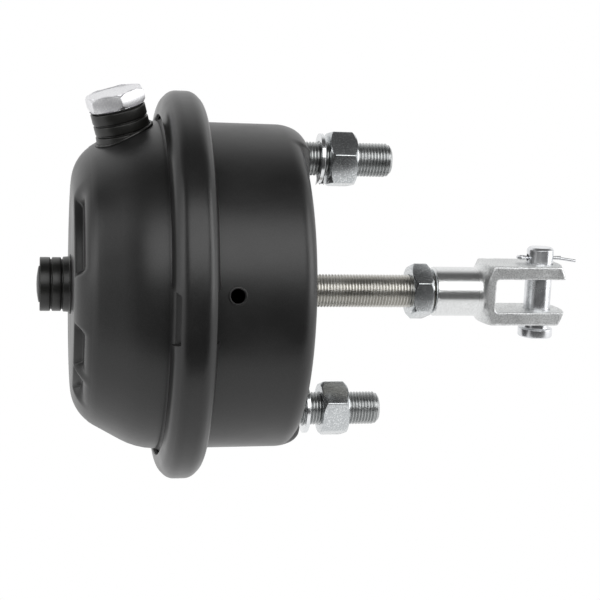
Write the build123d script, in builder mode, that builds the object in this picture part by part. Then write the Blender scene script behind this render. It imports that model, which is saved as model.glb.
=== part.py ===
from build123d import *
import math
import os

os.makedirs("parts", exist_ok=True)

# Air brake chamber. X is the chamber's axis and runs from the air port to the clevis.
# X = 0 is the mounting face, +Z points to the upper stud. Millimetres.

# shells
stud_spacing = 120.65
stud_edge = 15.3                # the spring shell's end reaches this far outside a stud's axis
sheet = 3.0                     # thickness of both pressed shells
spring_depth = 56.1             # mounting face to the middle of the clamp
spring_taper = 0.2              # the spring shell is this much wider at the clamp
spring_corner_r = 8.9
face_drop = 3.2                 # the end face lies this much lower than the stud band
band_half = 27.0                # half width of the stud band
shell_hole_r = 22.0
vent_r = 3.4
vent_back = 38.4                # from the mounting face
vent_angle = 6.5                # above the horizontal, on the -Y side
pressure_depth = 49.0           # middle of the clamp to the pressure shell's end
cone_in = 16.9                  # the cone is this much smaller at the end than at the clamp
collar_len = 9.0                # straight part between the cone and the flange
shoulder_r = 20.0               # bend radii of the shells, outside
knee_r = 8.0
root_r = 1.5
plateau_step = 3.5              # the plateau's side wall stands this far outside the end's flat
pocket_depth = 4.5              # the pockets around the plateau, pressed in
pocket_draft = 1.2              # the side wall leans out this much over the depth
pocket_wall = 2.6               # angle added at both ends of a pocket, inside
pocket_a_top = 54.0             # upper end of each pocket, angle above the horizontal
pocket_a_turn = 39.0            # angle a pocket takes
pocket_b_top = -10.4
pocket_b_turn = 21.1
pocket_c_top = -35.5
pocket_c_turn = 16.5

# clamp ring: a rolled crown with two straight legs over the shells' flanges
crown_r = 9.8
crown_turn = 45.0               # the crown ends this far above the horizontal on each side
ring_sheet = 3.0
leg_lean = 27.0                 # the legs and flanges lean this much from the radial
leg_len = 6.3                   # past the point level with the crown's axis
flange_len = 7.8
clamp_clear = 0.3
notch_angle = 15.4              # width of each of the four notches in the legs
notch_turn = 1.0
notch_clear = 0.3               # a notch leaves this much beside the crown

# ports
boss_r = 12.4
boss_groove_depth = 0.8
boss_groove_w = 1.1
boss_band_1 = 5.3               # outer and middle bands between the grooves
boss_band_2 = 4.5
boss_weld_r = 13.2
boss_weld_h = 2.0
port_bore_r = 7.4               # M16x1.5 tapping
end_boss_out = 14.0             # the end boss stands this far out of the shell
side_boss_out = 13.4            # the side boss stands this far out of the shell
side_boss_in = 19.6             # its outer face's centre, from the pressure shell's end
side_boss_rise = 6.2            # its outer face's centre, above the shell's radius
side_boss_back = 15.3           # lean toward the port end
side_boss_clock = 7.0           # turn about X toward -Y
plug_af = 24.0
plug_head_h = 7.0
plug_bevel = 1.8
plug_turn = 12.0
plug_shank_len = 9.0
plug_clear = 0.1
seal_h = 1.0
seal_r = 11.6
dust_head_r = 8.6
dust_head_h = 1.6
dust_bevel = 0.7

# studs
stud_r = 7.9                    # M16x1.5, free end
stud_seat_r = 7.7               # under the nut and washer
stud_end_x = 43.2
stud_free_x = 31.0              # where the free end starts
stud_head_r = 10.0
stud_head_h = 5.0
stud_chamfer = 1.3
stud_hole_clear = 0.1
stud_plate_t = 3.5
stud_plate_clear = 0.3
stud_plate_half = 24.0
nut_af = 24.0
nut_h = 14.8
nut_bevel = 1.9
nut_thread_clear = 0.06
upper_nut_x = 11.4
lower_nut_x = 14.2
upper_nut_turn = 17.7
lower_nut_turn = 13.0
washer_r = 12.0
washer_hole_r = 8.3
washer_t = 3.0
washer_split = 2.2
washer_split_lean = 25.0
upper_washer_x = 7.2
lower_washer_x = 7.3

# rod, guide, plate, diaphragm and spring
rod_r = 7.9                     # M16x1.5
rod_end_x = 89.0
rod_chamfer = 1.3
rod_drop = 2.4                  # the rod hangs this low in the clearance of the shell's hole
guide_clear = 0.25              # rod in guide
guide_play = 0.2                # lowest point of the guide's neck to the shell's hole
guide_flange_r = 44.0
guide_flange_t = 2.5
guide_bush_r = 12.0
guide_bush_len = 5.0
guide_chamfer = 0.8
membrane_gap = 0.8              # pressure shell's pockets to diaphragm
diaphragm_t = 3.4
rim_gap = 0.2
rim_len = 8.0                   # length of the diaphragm's rim between the flanges
plate_t = 3.5
plate_lip = 3.0
plate_rim = 3.4
plate_bend = 2.0
plate_edge = 0.8
plate_edge_gap = 0.5            # plate's edge to the diaphragm's bend
plate_hub_r = 13.0
plate_hub_h = 6.0
spring_wire_r = 1.8
spring_fixed_r = 38.0
spring_plate_r = 30.0
spring_turns = 5
spring_seat_gap = 0.15

# clevis group
lock_nut_x = 55.8
lock_nut_h = 10.0
lock_nut_turn = 4.0
lock_nut_gap = 1.2
barrel_r = 11.9
barrel_len = 21.3
barrel_chamfer = 1.0
bore_past = 5.4                 # the thread's bore runs this far past the barrel
neck_foot = 2.0
neck_run = 6.0                  # length of the flare between barrel and fork
neck_rise = 11.0
neck_fillet = 3.0
fork_end_x = 134.8              # apex of the rounded end
fork_end_r = 32.0
fork_half_z = 14.5
fork_half_y = 13.3
fork_slot_half = 8.0
slot_len = 38.7                 # the fork's slot, from its root to the apex
fork_corner_r = 1.6
fork_edge_r = 0.9
pin_in = 13.0                   # pin's axis from the apex
pin_r = 6.5
pin_clear = 0.05
pin_top = 7.7                   # above the upper ear
pin_point = 1.0
pin_head_r = 8.4
pin_head_h = 4.3
pin_head_bevel = 0.6
pin_head_gap = 3.3              # the pin hangs down by its play
split_hole_r = 1.7
split_wire_r = 0.75
split_gap = 0.8                 # each leg's distance from the hole's axis
split_neck = 7.0                # where the eye starts
split_eye_r = 2.4
split_z = 2.6                   # above the upper ear
split_leg_1 = 11.0
split_leg_2 = 17.5
split_bend_out = 1.0            # the long leg bends this far past the pin's side
split_spread = 1.6
split_drop = 1.2

# sizes that follow
lean_sin = math.sin(math.radians(leg_lean))
lean_cos = math.cos(math.radians(leg_lean))
stud_z = stud_spacing / 2
shell_end_r = stud_z + stud_edge
shell_r = shell_end_r + spring_taper
ring_x = -spring_depth
leg_r = crown_r * math.cos(math.radians(crown_turn - leg_lean))
crown_half = crown_r * math.cos(math.radians(crown_turn))
flange_face_r = leg_r - ring_sheet - clamp_clear
crown_axis_r = shell_r + flange_len * lean_cos - flange_face_r * lean_sin
pressure_end_x = ring_x - pressure_depth
wall_x = -face_drop - sheet     # inside face of the spring shell's end wall
knee_x = ring_x - flange_face_r * lean_cos - flange_len * lean_sin - collar_len
cone_turn = math.atan2(cone_in, knee_x - pressure_end_x)
shoulder_turn = math.pi / 2 - cone_turn
flat_r = shell_r - cone_in - shoulder_r * math.tan(shoulder_turn / 2)
plateau_r = flat_r + plateau_step
pocket_x = pressure_end_x + pocket_depth
end_boss_x = pressure_end_x - end_boss_out
side_boss_reach = shell_r + side_boss_rise
membrane_depth = sheet + pocket_depth + membrane_gap
plate_x = pressure_end_x + membrane_depth + diaphragm_t
plate_r = flat_r - rod_drop - plate_edge_gap
plate_back = plate_x + plate_t
guide_x = wall_x - stud_plate_t - guide_flange_t
guide_neck_r = shell_hole_r - rod_drop - guide_play
spring_a_x = plate_back + spring_wire_r + spring_seat_gap
spring_b_x = guide_x - spring_wire_r - spring_seat_gap
barrel_x = lock_nut_x + lock_nut_h + lock_nut_gap
neck_x = barrel_x + barrel_len
fork_root_x = fork_end_x - slot_len
pin_x = fork_end_x - pin_in


def leg_point(side, r, down=0.0):
    """A point (x, r) on a leg or flange: off the crown's axis by r, then down along the leg."""
    return (ring_x + side * (r * lean_cos + down * lean_sin), crown_axis_r + r * lean_sin - down * lean_cos)


def flange_root(side, depth):
    """Where a flange meets the shell's wall, depth below the shell's outer face."""
    down = flange_len + depth * (1 - lean_sin) / lean_cos
    return leg_point(side, flange_face_r - depth, down)


def pressure_wall(depth):
    """The pressure shell's wall, depth below its outer face, from the axis to the collar."""
    end = pressure_end_x + depth
    cone_edge = shell_r - cone_in + depth * math.tan(cone_turn) - depth / math.cos(cone_turn)
    knee = knee_x + depth * math.tan(cone_turn / 2)
    knee_bend = max(knee_r - depth, root_r)
    return [(end, 0, 0), (end, cone_edge, shoulder_r - depth), (knee, shell_r - depth, knee_bend)]


def turned(corners, how=Mode.ADD, z=0.0):
    """Turn a closed outline of (x, r, corner radius) about a line along X."""
    with BuildSketch(Plane(origin=(0, 0, z), x_dir=(1, 0, 0), z_dir=(0, -1, 0))) as outline:
        with BuildLine():
            FilletPolyline(*[(x, r) for x, r, bend in corners], radius=[bend for x, r, bend in corners], close=True)
        make_face()
    revolve(outline.sketch, axis=Axis((0, 0, z), (1, 0, 0)), mode=how)


def pocket_sector(top, turn, depth, reach, how):
    """Turn a pocket's floor, depth below the outer face, down from the angle top. It closes on an arc at reach."""
    up = math.radians(top)
    bend_x = pressure_end_x + shoulder_r
    floor_x = pocket_x + depth
    first = math.degrees(math.acos((floor_x - bend_x) / reach))
    last = 180 - math.degrees(math.asin((plateau_step - depth) / reach))
    with BuildSketch(Plane((0, 0, 0), x_dir=(1, 0, 0), z_dir=(0, -math.sin(up), -math.cos(up)))) as floor:
        with BuildLine():
            close = CenterArc((bend_x, flat_r), reach, first, last - first)
            Polyline(close @ 1, (floor_x, plateau_r + pocket_draft - depth), close @ 0)
        make_face()
    revolve(floor.sketch, axis=Axis.X, revolution_arc=turn, mode=how)


def tube_x(r, x0, x1, how=Mode.ADD, z=0.0):
    """A round bar along X from x0 to x1."""
    with Locations(Plane(origin=(x0, 0, z), z_dir=(1, 0, 0))):
        Cylinder(r, x1 - x0, align=(Align.CENTER, Align.CENTER, Align.MIN), mode=how)


def hex_body(flats, height, bevel):
    """A hexagon with bevelled corners at both ends, on the current location."""
    corner = flats / math.sqrt(3.0)
    bevel_h = bevel * math.tan(math.radians(30))
    with BuildSketch() as section:
        RegularPolygon(corner, 6)
    extrude(section.sketch, amount=height)
    with BuildSketch(Plane.XZ) as bevels:
        with BuildLine():
            Polyline(
                (0, 0),
                (corner - bevel, 0),
                (corner, bevel_h),
                (corner, height - bevel_h),
                (corner - bevel, height),
                (0, height),
                close=True,
            )
        make_face()
    revolve(bevels.sketch, axis=Axis.Z, mode=Mode.INTERSECT)


# local frames of the ports: z points out of the boss
lean = math.radians(side_boss_back)
clock = math.radians(side_boss_clock)
side_origin = (pressure_end_x + side_boss_in, -side_boss_reach * math.sin(clock), side_boss_reach * math.cos(clock))
side_out = (-math.sin(lean), -math.cos(lean) * math.sin(clock), math.cos(lean) * math.cos(clock))
side_plane = Plane(origin=side_origin, x_dir=(0, 1, 0), z_dir=side_out)
end_plane = Plane(origin=(end_boss_x, 0, 0), x_dir=(0, 1, 0), z_dir=(-1, 0, 0))
inward = (Align.CENTER, Align.CENTER, Align.MAX)
outward = (Align.CENTER, Align.CENTER, Align.MIN)
boss_grooves = (boss_band_1, boss_band_1 + boss_groove_w + boss_band_2)

# ------------------------------------------------------------------ pressure shell
pressure_skin = pressure_wall(0) + [(*flange_root(-1, 0), root_r), (*leg_point(-1, flange_face_r), 0)]
pressure_lining = pressure_wall(sheet) + [
    (*flange_root(-1, sheet), root_r + sheet),
    (*leg_point(-1, flange_face_r - sheet), 0),
]
hollows = [(pocket_a_top, pocket_a_turn), (pocket_b_top, pocket_b_turn), (pocket_c_top, pocket_c_turn)]
backs = [(pocket_a_top, pocket_a_turn), (pocket_b_top, pocket_b_top - pocket_c_top + pocket_c_turn)]
with BuildPart() as pressure_shell:
    turned(pressure_skin + pressure_lining[::-1])
    # pockets pressed in around the plateau, on both sides: their backs first, then their hollows
    for top, turn in backs:
        for start in (top, 180 - top + turn):
            pocket_sector(start + pocket_wall, turn + 2 * pocket_wall, sheet, shoulder_r - sheet / 2, Mode.ADD)
    for top, turn in hollows:
        for start in (top, 180 - top + turn):
            pocket_sector(start, turn, 0, shoulder_r + sheet, Mode.SUBTRACT)
    tube_x(boss_r, pressure_end_x - sheet, pressure_end_x + 2 * sheet, Mode.SUBTRACT)
    with Locations(side_plane):
        Cylinder(boss_r, side_boss_reach, align=inward, mode=Mode.SUBTRACT)
pressure_shell.part.label = "pressure_shell"
export_step(pressure_shell.part, "parts/pressure_shell.step")

# ------------------------------------------------------------------ port bosses
with BuildPart() as end_port_boss:
    tube_x(boss_weld_r, pressure_end_x - boss_weld_h, pressure_end_x)
    tube_x(boss_r, end_boss_x, pressure_end_x + sheet)
    for groove_at in boss_grooves:
        with BuildSketch(Plane.YZ.offset(end_boss_x + groove_at)):
            Circle(2 * boss_r)
            Circle(boss_r - boss_groove_depth, mode=Mode.SUBTRACT)
        extrude(amount=boss_groove_w, mode=Mode.SUBTRACT)
    tube_x(port_bore_r, end_boss_x - sheet, pressure_end_x + 2 * sheet, Mode.SUBTRACT)
end_port_boss.part.label = "end_port_boss"
export_step(end_port_boss.part, "parts/end_port_boss.step")

with BuildPart() as side_port_boss:
    with Locations(side_plane.offset(boss_weld_h - side_boss_out)):
        Cylinder(boss_weld_r, side_boss_out, align=inward)
    turned(pressure_wall(0) + [(ring_x, shell_r, 0), (ring_x, 0, 0)], Mode.SUBTRACT)
    with Locations(side_plane):
        Cylinder(boss_r, side_boss_reach / 2, align=inward)
    turned(pressure_wall(sheet) + [(ring_x, shell_r - sheet, 0), (ring_x, 0, 0)], Mode.SUBTRACT)
    for groove_at in boss_grooves:
        with BuildSketch(side_plane.offset(-groove_at)):
            Circle(boss_r + boss_groove_depth)
            Circle(boss_r - boss_groove_depth, mode=Mode.SUBTRACT)
        extrude(amount=-boss_groove_w, mode=Mode.SUBTRACT)
    with Locations(side_plane):
        Cylinder(port_bore_r, side_boss_reach, mode=Mode.SUBTRACT)
side_port_boss.part.label = "side_port_boss"
export_step(side_port_boss.part, "parts/side_port_boss.step")

# ------------------------------------------------------------------ plugs
with BuildPart() as end_port_dust_plug:
    with Locations(end_plane):
        Cylinder(dust_head_r, dust_head_h, align=outward)
        Cylinder(port_bore_r - plug_clear, plug_shank_len, align=inward)
    chamfer(end_port_dust_plug.faces().sort_by(Axis.X)[0].edges(), dust_bevel)
end_port_dust_plug.part.label = "end_port_dust_plug"
export_step(end_port_dust_plug.part, "parts/end_port_dust_plug.step")

with BuildPart() as side_port_seal_ring:
    with BuildSketch(side_plane):
        Circle(seal_r)
        Circle(port_bore_r + plug_clear, mode=Mode.SUBTRACT)
    extrude(amount=seal_h)
side_port_seal_ring.part.label = "side_port_seal_ring"
export_step(side_port_seal_ring.part, "parts/side_port_seal_ring.step")

with BuildPart() as plug_blank:
    hex_body(plug_af, plug_head_h, plug_bevel)
    Cylinder(port_bore_r - plug_clear, plug_shank_len, align=inward)
with BuildPart() as side_port_plug:
    with Locations(side_plane.offset(seal_h)):
        add(plug_blank.part, rotation=(0, 0, plug_turn))
side_port_plug.part.label = "side_port_plug"
export_step(side_port_plug.part, "parts/side_port_plug.step")

# ------------------------------------------------------------------ clamp ring
inner_turn = leg_lean + math.degrees(math.acos((leg_r - ring_sheet) / (crown_r - ring_sheet)))
with BuildPart() as clamp_ring:
    with BuildSketch(Plane.XZ) as ring_section:
        with BuildLine():
            crown = CenterArc((ring_x, crown_axis_r), crown_r, crown_turn, 180 - 2 * crown_turn)
            lining = CenterArc((ring_x, crown_axis_r), crown_r - ring_sheet, inner_turn, 180 - 2 * inner_turn)
            for side, at in ((1, 0), (-1, 1)):
                Polyline(
                    crown @ at,
                    leg_point(side, leg_r, leg_len),
                    leg_point(side, leg_r - ring_sheet, leg_len),
                    lining @ at,
                )
        make_face()
    revolve(ring_section.sketch, axis=Axis.X)
    ring_r = crown_axis_r + crown_r
    notch_w = 2 * ring_r * math.tan(math.radians(notch_angle / 2))
    for quarter in (0, 90, 180, 270):
        for side in (-1, 1):
            with Locations(Rotation(quarter + notch_turn, 0, 0) * Location((ring_x + side * (crown_half + notch_clear), -ring_r, 0))):
                outside_crown = (Align.MIN if side > 0 else Align.MAX, Align.MIN, Align.CENTER)
                Box(2 * crown_r, 2 * crown_r, notch_w, align=outside_crown, mode=Mode.SUBTRACT)
clamp_ring.part.label = "clamp_ring"
export_step(clamp_ring.part, "parts/clamp_ring.step")

# ------------------------------------------------------------------ spring shell
with BuildPart() as spring_shell:
    turned([
        (0, 0, 0),
        (0, shell_end_r, spring_corner_r),
        (*flange_root(1, 0), root_r),
        (*leg_point(1, flange_face_r), 0),
        (*leg_point(1, flange_face_r - sheet), 0),
        (*flange_root(1, sheet), root_r + sheet),
        (wall_x, shell_end_r - sheet, spring_corner_r + wall_x),
        (wall_x, 0, 0),
    ])
    # the end face lies lower than the stud band
    for side in (-1, 1):
        with Locations((-face_drop, side * band_half, 0)):
            outside_band = (Align.MIN, Align.MIN if side > 0 else Align.MAX, Align.CENTER)
            Box(sheet, shell_r, 2 * shell_r, align=outside_band, mode=Mode.SUBTRACT)
    tube_x(shell_hole_r, wall_x - sheet, sheet, Mode.SUBTRACT)
    for side in (-1, 1):
        tube_x(stud_seat_r + stud_hole_clear, wall_x - sheet, sheet, Mode.SUBTRACT, side * stud_z)
    vent_out = (0, -math.cos(math.radians(vent_angle)), math.sin(math.radians(vent_angle)))
    with Locations(Plane(origin=(-vent_back, 0, 0), x_dir=(1, 0, 0), z_dir=vent_out)):
        Cylinder(vent_r, 2 * shell_r, align=outward, mode=Mode.SUBTRACT)
spring_shell.part.label = "spring_shell"
export_step(spring_shell.part, "parts/spring_shell.step")

# ------------------------------------------------------------------ diaphragm
rim_r = flange_face_r - sheet - rim_gap
with BuildPart() as diaphragm:
    turned(
        pressure_wall(membrane_depth)
        + [
            (*leg_point(-1, rim_r, rim_len), rim_gap),
            (*leg_point(-1, rim_r, rim_gap), rim_gap),
            (*leg_point(1, rim_r, rim_gap), rim_gap),
            (*leg_point(1, rim_r, rim_len), root_r),
        ]
        + pressure_wall(membrane_depth + diaphragm_t)[::-1]
    )
diaphragm.part.label = "diaphragm"
export_step(diaphragm.part, "parts/diaphragm.step")

# ------------------------------------------------------------------ studs and their plate
stud_back = wall_x - stud_plate_t
stud_plate_r = shell_end_r - spring_corner_r - stud_plate_clear
with BuildPart() as stud_plate:
    with BuildSketch(Plane.YZ.offset(stud_back)):
        Circle(stud_plate_r)
        Rectangle(2 * stud_plate_half, 2 * stud_plate_r, mode=Mode.INTERSECT)
        Circle(shell_hole_r, mode=Mode.SUBTRACT)
        with Locations((0, stud_z), (0, -stud_z)):
            Circle(stud_seat_r + stud_hole_clear, mode=Mode.SUBTRACT)
    extrude(amount=stud_plate_t)
stud_plate.part.label = "stud_plate"
export_step(stud_plate.part, "parts/stud_plate.step")


def stud_body(z):
    """A headed stud along X, through the plate and the shell's end wall."""
    tube_x(stud_head_r, stud_back - stud_head_h, stud_back, z=z)
    tube_x(stud_seat_r, stud_back, stud_free_x, z=z)
    tube_x(stud_r, stud_free_x, stud_end_x - stud_chamfer, z=z)
    with Locations(Plane(origin=(stud_end_x - stud_chamfer, 0, z), z_dir=(1, 0, 0))):
        Cone(stud_r, stud_r - stud_chamfer, stud_chamfer, align=outward)


with BuildPart() as upper_stud:
    stud_body(stud_z)
upper_stud.part.label = "upper_stud"
export_step(upper_stud.part, "parts/upper_stud.step")

with BuildPart() as lower_stud:
    stud_body(-stud_z)
lower_stud.part.label = "lower_stud"
export_step(lower_stud.part, "parts/lower_stud.step")

# ------------------------------------------------------------------ nuts and washers
with BuildPart() as nut_blank:
    hex_body(nut_af, nut_h, nut_bevel)
    Cylinder(stud_seat_r + nut_thread_clear, 4 * nut_h, mode=Mode.SUBTRACT)

with BuildPart() as upper_stud_nut:
    with Locations(Location((upper_nut_x, 0, stud_z), (0, 90, 0))):
        add(nut_blank.part, rotation=(0, 0, upper_nut_turn))
upper_stud_nut.part.label = "upper_stud_nut"
export_step(upper_stud_nut.part, "parts/upper_stud_nut.step")

with BuildPart() as lower_stud_nut:
    with Locations(Location((lower_nut_x, 0, -stud_z), (0, 90, 0))):
        add(nut_blank.part, rotation=(0, 0, lower_nut_turn))
lower_stud_nut.part.label = "lower_stud_nut"
export_step(lower_stud_nut.part, "parts/lower_stud_nut.step")


def washer_body(x, z, split_turn):
    """A spring washer: a flat ring with one slanted split."""
    with BuildSketch(Plane(origin=(x, 0, z), x_dir=(0, 1, 0), z_dir=(1, 0, 0))) as ring:
        Circle(washer_r)
        Circle(washer_hole_r, mode=Mode.SUBTRACT)
    extrude(ring.sketch, amount=washer_t)
    with Locations(Location((x + washer_t / 2, 0, z)) * Rotation(split_turn, 0, 0)):
        with Locations(Location((0, washer_r, 0), (0, washer_split_lean, 0))):
            Box(washer_t * 2, washer_r, washer_split, mode=Mode.SUBTRACT)


with BuildPart() as upper_spring_washer:
    washer_body(upper_washer_x, stud_z, 150)
upper_spring_washer.part.label = "upper_spring_washer"
export_step(upper_spring_washer.part, "parts/upper_spring_washer.step")

with BuildPart() as lower_spring_washer:
    washer_body(lower_washer_x, -stud_z, 35)
lower_spring_washer.part.label = "lower_spring_washer"
export_step(lower_spring_washer.part, "parts/lower_spring_washer.step")

# ------------------------------------------------------------------ rod guide and return spring
with BuildPart() as rod_guide:
    tube_x(guide_flange_r, guide_x, guide_x + guide_flange_t, z=-rod_drop)
    tube_x(guide_neck_r, guide_x + guide_flange_t, -face_drop, z=-rod_drop)
    tube_x(guide_bush_r, guide_x - guide_bush_len, guide_x, z=-rod_drop)
    tube_x(rod_r + guide_clear, guide_x - 2 * guide_bush_len, sheet, Mode.SUBTRACT, -rod_drop)
    chamfer(rod_guide.faces().sort_by(Axis.X)[-1].edges(), guide_chamfer)
rod_guide.part.label = "rod_guide"
export_step(rod_guide.part, "parts/rod_guide.step")

spring_len = spring_b_x - spring_a_x
spring_lean = math.degrees(math.atan2(spring_fixed_r - spring_plate_r, spring_len))
with BuildPart() as return_spring:
    with BuildLine() as coil:
        Helix(
            pitch=spring_len / spring_turns,
            height=spring_len,
            radius=spring_plate_r,
            center=(spring_a_x, 0, -rod_drop),
            direction=(1, 0, 0),
            cone_angle=spring_lean,
        )
    with BuildSketch(Plane(origin=coil.line @ 0, z_dir=coil.line % 0)):
        Circle(spring_wire_r)
    sweep(is_frenet=True)
return_spring.part.label = "return_spring"
export_step(return_spring.part, "parts/return_spring.step")

# ------------------------------------------------------------------ push plate, rod, lock nut
with BuildPart() as push_plate:
    turned([
        (plate_x, 0, 0),
        (plate_x, plate_r, plate_bend),
        (plate_back + plate_lip, plate_r, plate_edge),
        (plate_back + plate_lip, plate_r - plate_rim, plate_edge),
        (plate_back, plate_r - plate_rim, plate_bend),
        (plate_back, plate_hub_r, plate_bend),
        (plate_back + plate_hub_h, plate_hub_r, plate_edge),
        (plate_back + plate_hub_h, rod_r, 0),
        (plate_back, rod_r, 0),
        (plate_back, 0, 0),
    ], z=-rod_drop)
push_plate.part.label = "push_plate"
export_step(push_plate.part, "parts/push_plate.step")

with BuildPart() as push_rod:
    tube_x(rod_r, plate_back, rod_end_x, z=-rod_drop)
    chamfer(push_rod.edges().filter_by(GeomType.CIRCLE).sort_by(Axis.X)[-1], rod_chamfer)
push_rod.part.label = "push_rod"
export_step(push_rod.part, "parts/push_rod.step")

with BuildPart() as lock_nut_blank:
    hex_body(nut_af, lock_nut_h, nut_bevel)
    Cylinder(rod_r + nut_thread_clear, 4 * lock_nut_h, mode=Mode.SUBTRACT)
with BuildPart() as lock_nut:
    with Locations(Location((lock_nut_x, 0, -rod_drop), (0, 90, 0))):
        add(lock_nut_blank.part, rotation=(0, 0, lock_nut_turn))
lock_nut.part.label = "lock_nut"
export_step(lock_nut.part, "parts/lock_nut.step")

# ------------------------------------------------------------------ clevis
flare_r = barrel_r + neck_rise
with BuildPart() as clevis:
    with Locations((neck_x, 0, -rod_drop)):
        Box(fork_end_x - neck_x, 2 * fork_half_y, 2 * fork_half_z, align=(Align.MIN, Align.CENTER, Align.CENTER))
    fillet(clevis.edges().filter_by(Axis.X), fork_edge_r)
    turned([
        (neck_x, 0, 0),
        (neck_x, barrel_r, 0),
        (neck_x + neck_foot, barrel_r, neck_fillet),
        (neck_x + neck_foot + neck_run, flare_r, neck_fillet),
        (fork_end_x, flare_r, 0),
        (fork_end_x, 0, 0),
    ], Mode.INTERSECT, -rod_drop)
    with Locations((fork_end_x - fork_end_r, 0, -rod_drop)):
        Sphere(fork_end_r, mode=Mode.INTERSECT)
    tube_x(barrel_r, barrel_x, neck_x, z=-rod_drop)
    with BuildSketch(Plane.XZ.offset(-2 * fork_half_y)) as slot:
        with Locations((fork_root_x, -rod_drop)):
            RectangleRounded(fork_end_x, 2 * fork_slot_half, fork_corner_r, align=(Align.MIN, Align.CENTER))
    extrude(slot.sketch, amount=4 * fork_half_y, mode=Mode.SUBTRACT)
    chamfer(clevis.faces().sort_by(Axis.X)[0].edges(), barrel_chamfer)
    tube_x(rod_r + nut_thread_clear, barrel_x - barrel_chamfer, neck_x + bore_past, Mode.SUBTRACT, -rod_drop)
    with Locations((pin_x, 0, -rod_drop)):
        Cylinder(pin_r + pin_clear, 4 * fork_half_z, mode=Mode.SUBTRACT)
clevis.part.label = "clevis"
export_step(clevis.part, "parts/clevis.step")

# ------------------------------------------------------------------ clevis pin and split pin
ear_z = fork_half_z - rod_drop
pin_top_z = ear_z + pin_top
pin_low_z = -fork_half_z - rod_drop - pin_head_gap
with BuildPart() as clevis_pin:
    with Locations((pin_x, 0, pin_low_z)):
        Cylinder(pin_r, pin_top_z - pin_low_z, align=outward)
        Cylinder(pin_head_r, pin_head_h, align=inward)
    chamfer(clevis_pin.faces().sort_by(Axis.Z)[-1].edges(), pin_point)
    chamfer(clevis_pin.faces().sort_by(Axis.Z)[0].edges(), pin_head_bevel)
    with Locations(Plane(origin=(pin_x, 0, ear_z + split_z), z_dir=(1, 0, 0))):
        Cylinder(split_hole_r, 4 * pin_r, mode=Mode.SUBTRACT)
clevis_pin.part.label = "clevis_pin"
export_step(clevis_pin.part, "parts/clevis_pin.step")

eye_x = pin_x - split_neck
bend_x = pin_x + pin_r + split_bend_out
with BuildPart() as split_pin:
    with BuildLine(Plane.XY.offset(ear_z + split_z)) as split_path:
        Line((pin_x + split_leg_1, split_gap), (eye_x, split_gap))
        ThreePointArc((eye_x, split_gap), (eye_x - 2 * split_eye_r, 0), (eye_x, -split_gap))
        Line((eye_x, -split_gap), (bend_x, -split_gap))
        Line((bend_x, -split_gap), (pin_x + split_leg_2, -split_gap - split_spread, -split_drop))
    with BuildSketch(Plane(origin=split_path.line @ 0, z_dir=split_path.line % 0)):
        Circle(split_wire_r)
    sweep(transition=Transition.ROUND)
split_pin.part.label = "split_pin"
export_step(split_pin.part, "parts/split_pin.step")
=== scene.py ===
import math
from functools import partial

import bmesh
import bpy
import numpy as np
from mathutils import Matrix, Vector, noise


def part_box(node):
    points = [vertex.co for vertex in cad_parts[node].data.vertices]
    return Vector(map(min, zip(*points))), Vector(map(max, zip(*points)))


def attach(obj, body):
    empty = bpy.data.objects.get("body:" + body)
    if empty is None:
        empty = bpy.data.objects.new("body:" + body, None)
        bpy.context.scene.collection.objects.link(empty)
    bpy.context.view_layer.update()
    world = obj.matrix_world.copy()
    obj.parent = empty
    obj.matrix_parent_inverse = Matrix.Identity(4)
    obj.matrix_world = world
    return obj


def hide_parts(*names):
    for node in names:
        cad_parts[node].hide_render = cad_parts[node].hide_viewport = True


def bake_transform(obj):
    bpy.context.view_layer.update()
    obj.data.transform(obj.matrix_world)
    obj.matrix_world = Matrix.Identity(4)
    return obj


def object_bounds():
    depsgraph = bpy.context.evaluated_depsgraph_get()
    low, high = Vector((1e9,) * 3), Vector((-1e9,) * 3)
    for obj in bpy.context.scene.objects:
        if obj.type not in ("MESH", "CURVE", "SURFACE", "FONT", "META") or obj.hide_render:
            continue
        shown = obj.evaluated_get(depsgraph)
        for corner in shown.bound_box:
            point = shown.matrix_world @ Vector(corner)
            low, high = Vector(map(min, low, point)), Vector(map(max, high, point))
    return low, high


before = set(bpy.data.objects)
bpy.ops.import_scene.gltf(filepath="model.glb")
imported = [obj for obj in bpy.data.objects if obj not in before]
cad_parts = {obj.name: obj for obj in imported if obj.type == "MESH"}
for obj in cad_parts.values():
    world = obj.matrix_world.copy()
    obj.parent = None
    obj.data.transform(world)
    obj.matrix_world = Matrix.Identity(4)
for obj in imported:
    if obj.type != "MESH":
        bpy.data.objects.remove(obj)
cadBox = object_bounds()
scene = bpy.context.scene
scene.view_settings.view_transform = "Standard"
mm = 0.001                    # dictionaries are in millimetres and degrees where they don't say otherwise


def newObject(name, data):
    obj = bpy.data.objects.new(name, data)
    scene.collection.objects.link(obj)
    return obj


# camera
cameraView = {
    "target": (2.85, 0.0, -7.02),
    "distance": 657.6,
    "azimuth": 11.27,         # camera turned toward the port side
    "elevation": 10.43,
    "roll": 2.3,
    "focal": 1380.6,          # in pixels
    "frameWidth": 600.0,      # in pixels
    "sensor": 36.0,
    "farthest": 20.0,         # metres
}


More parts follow.
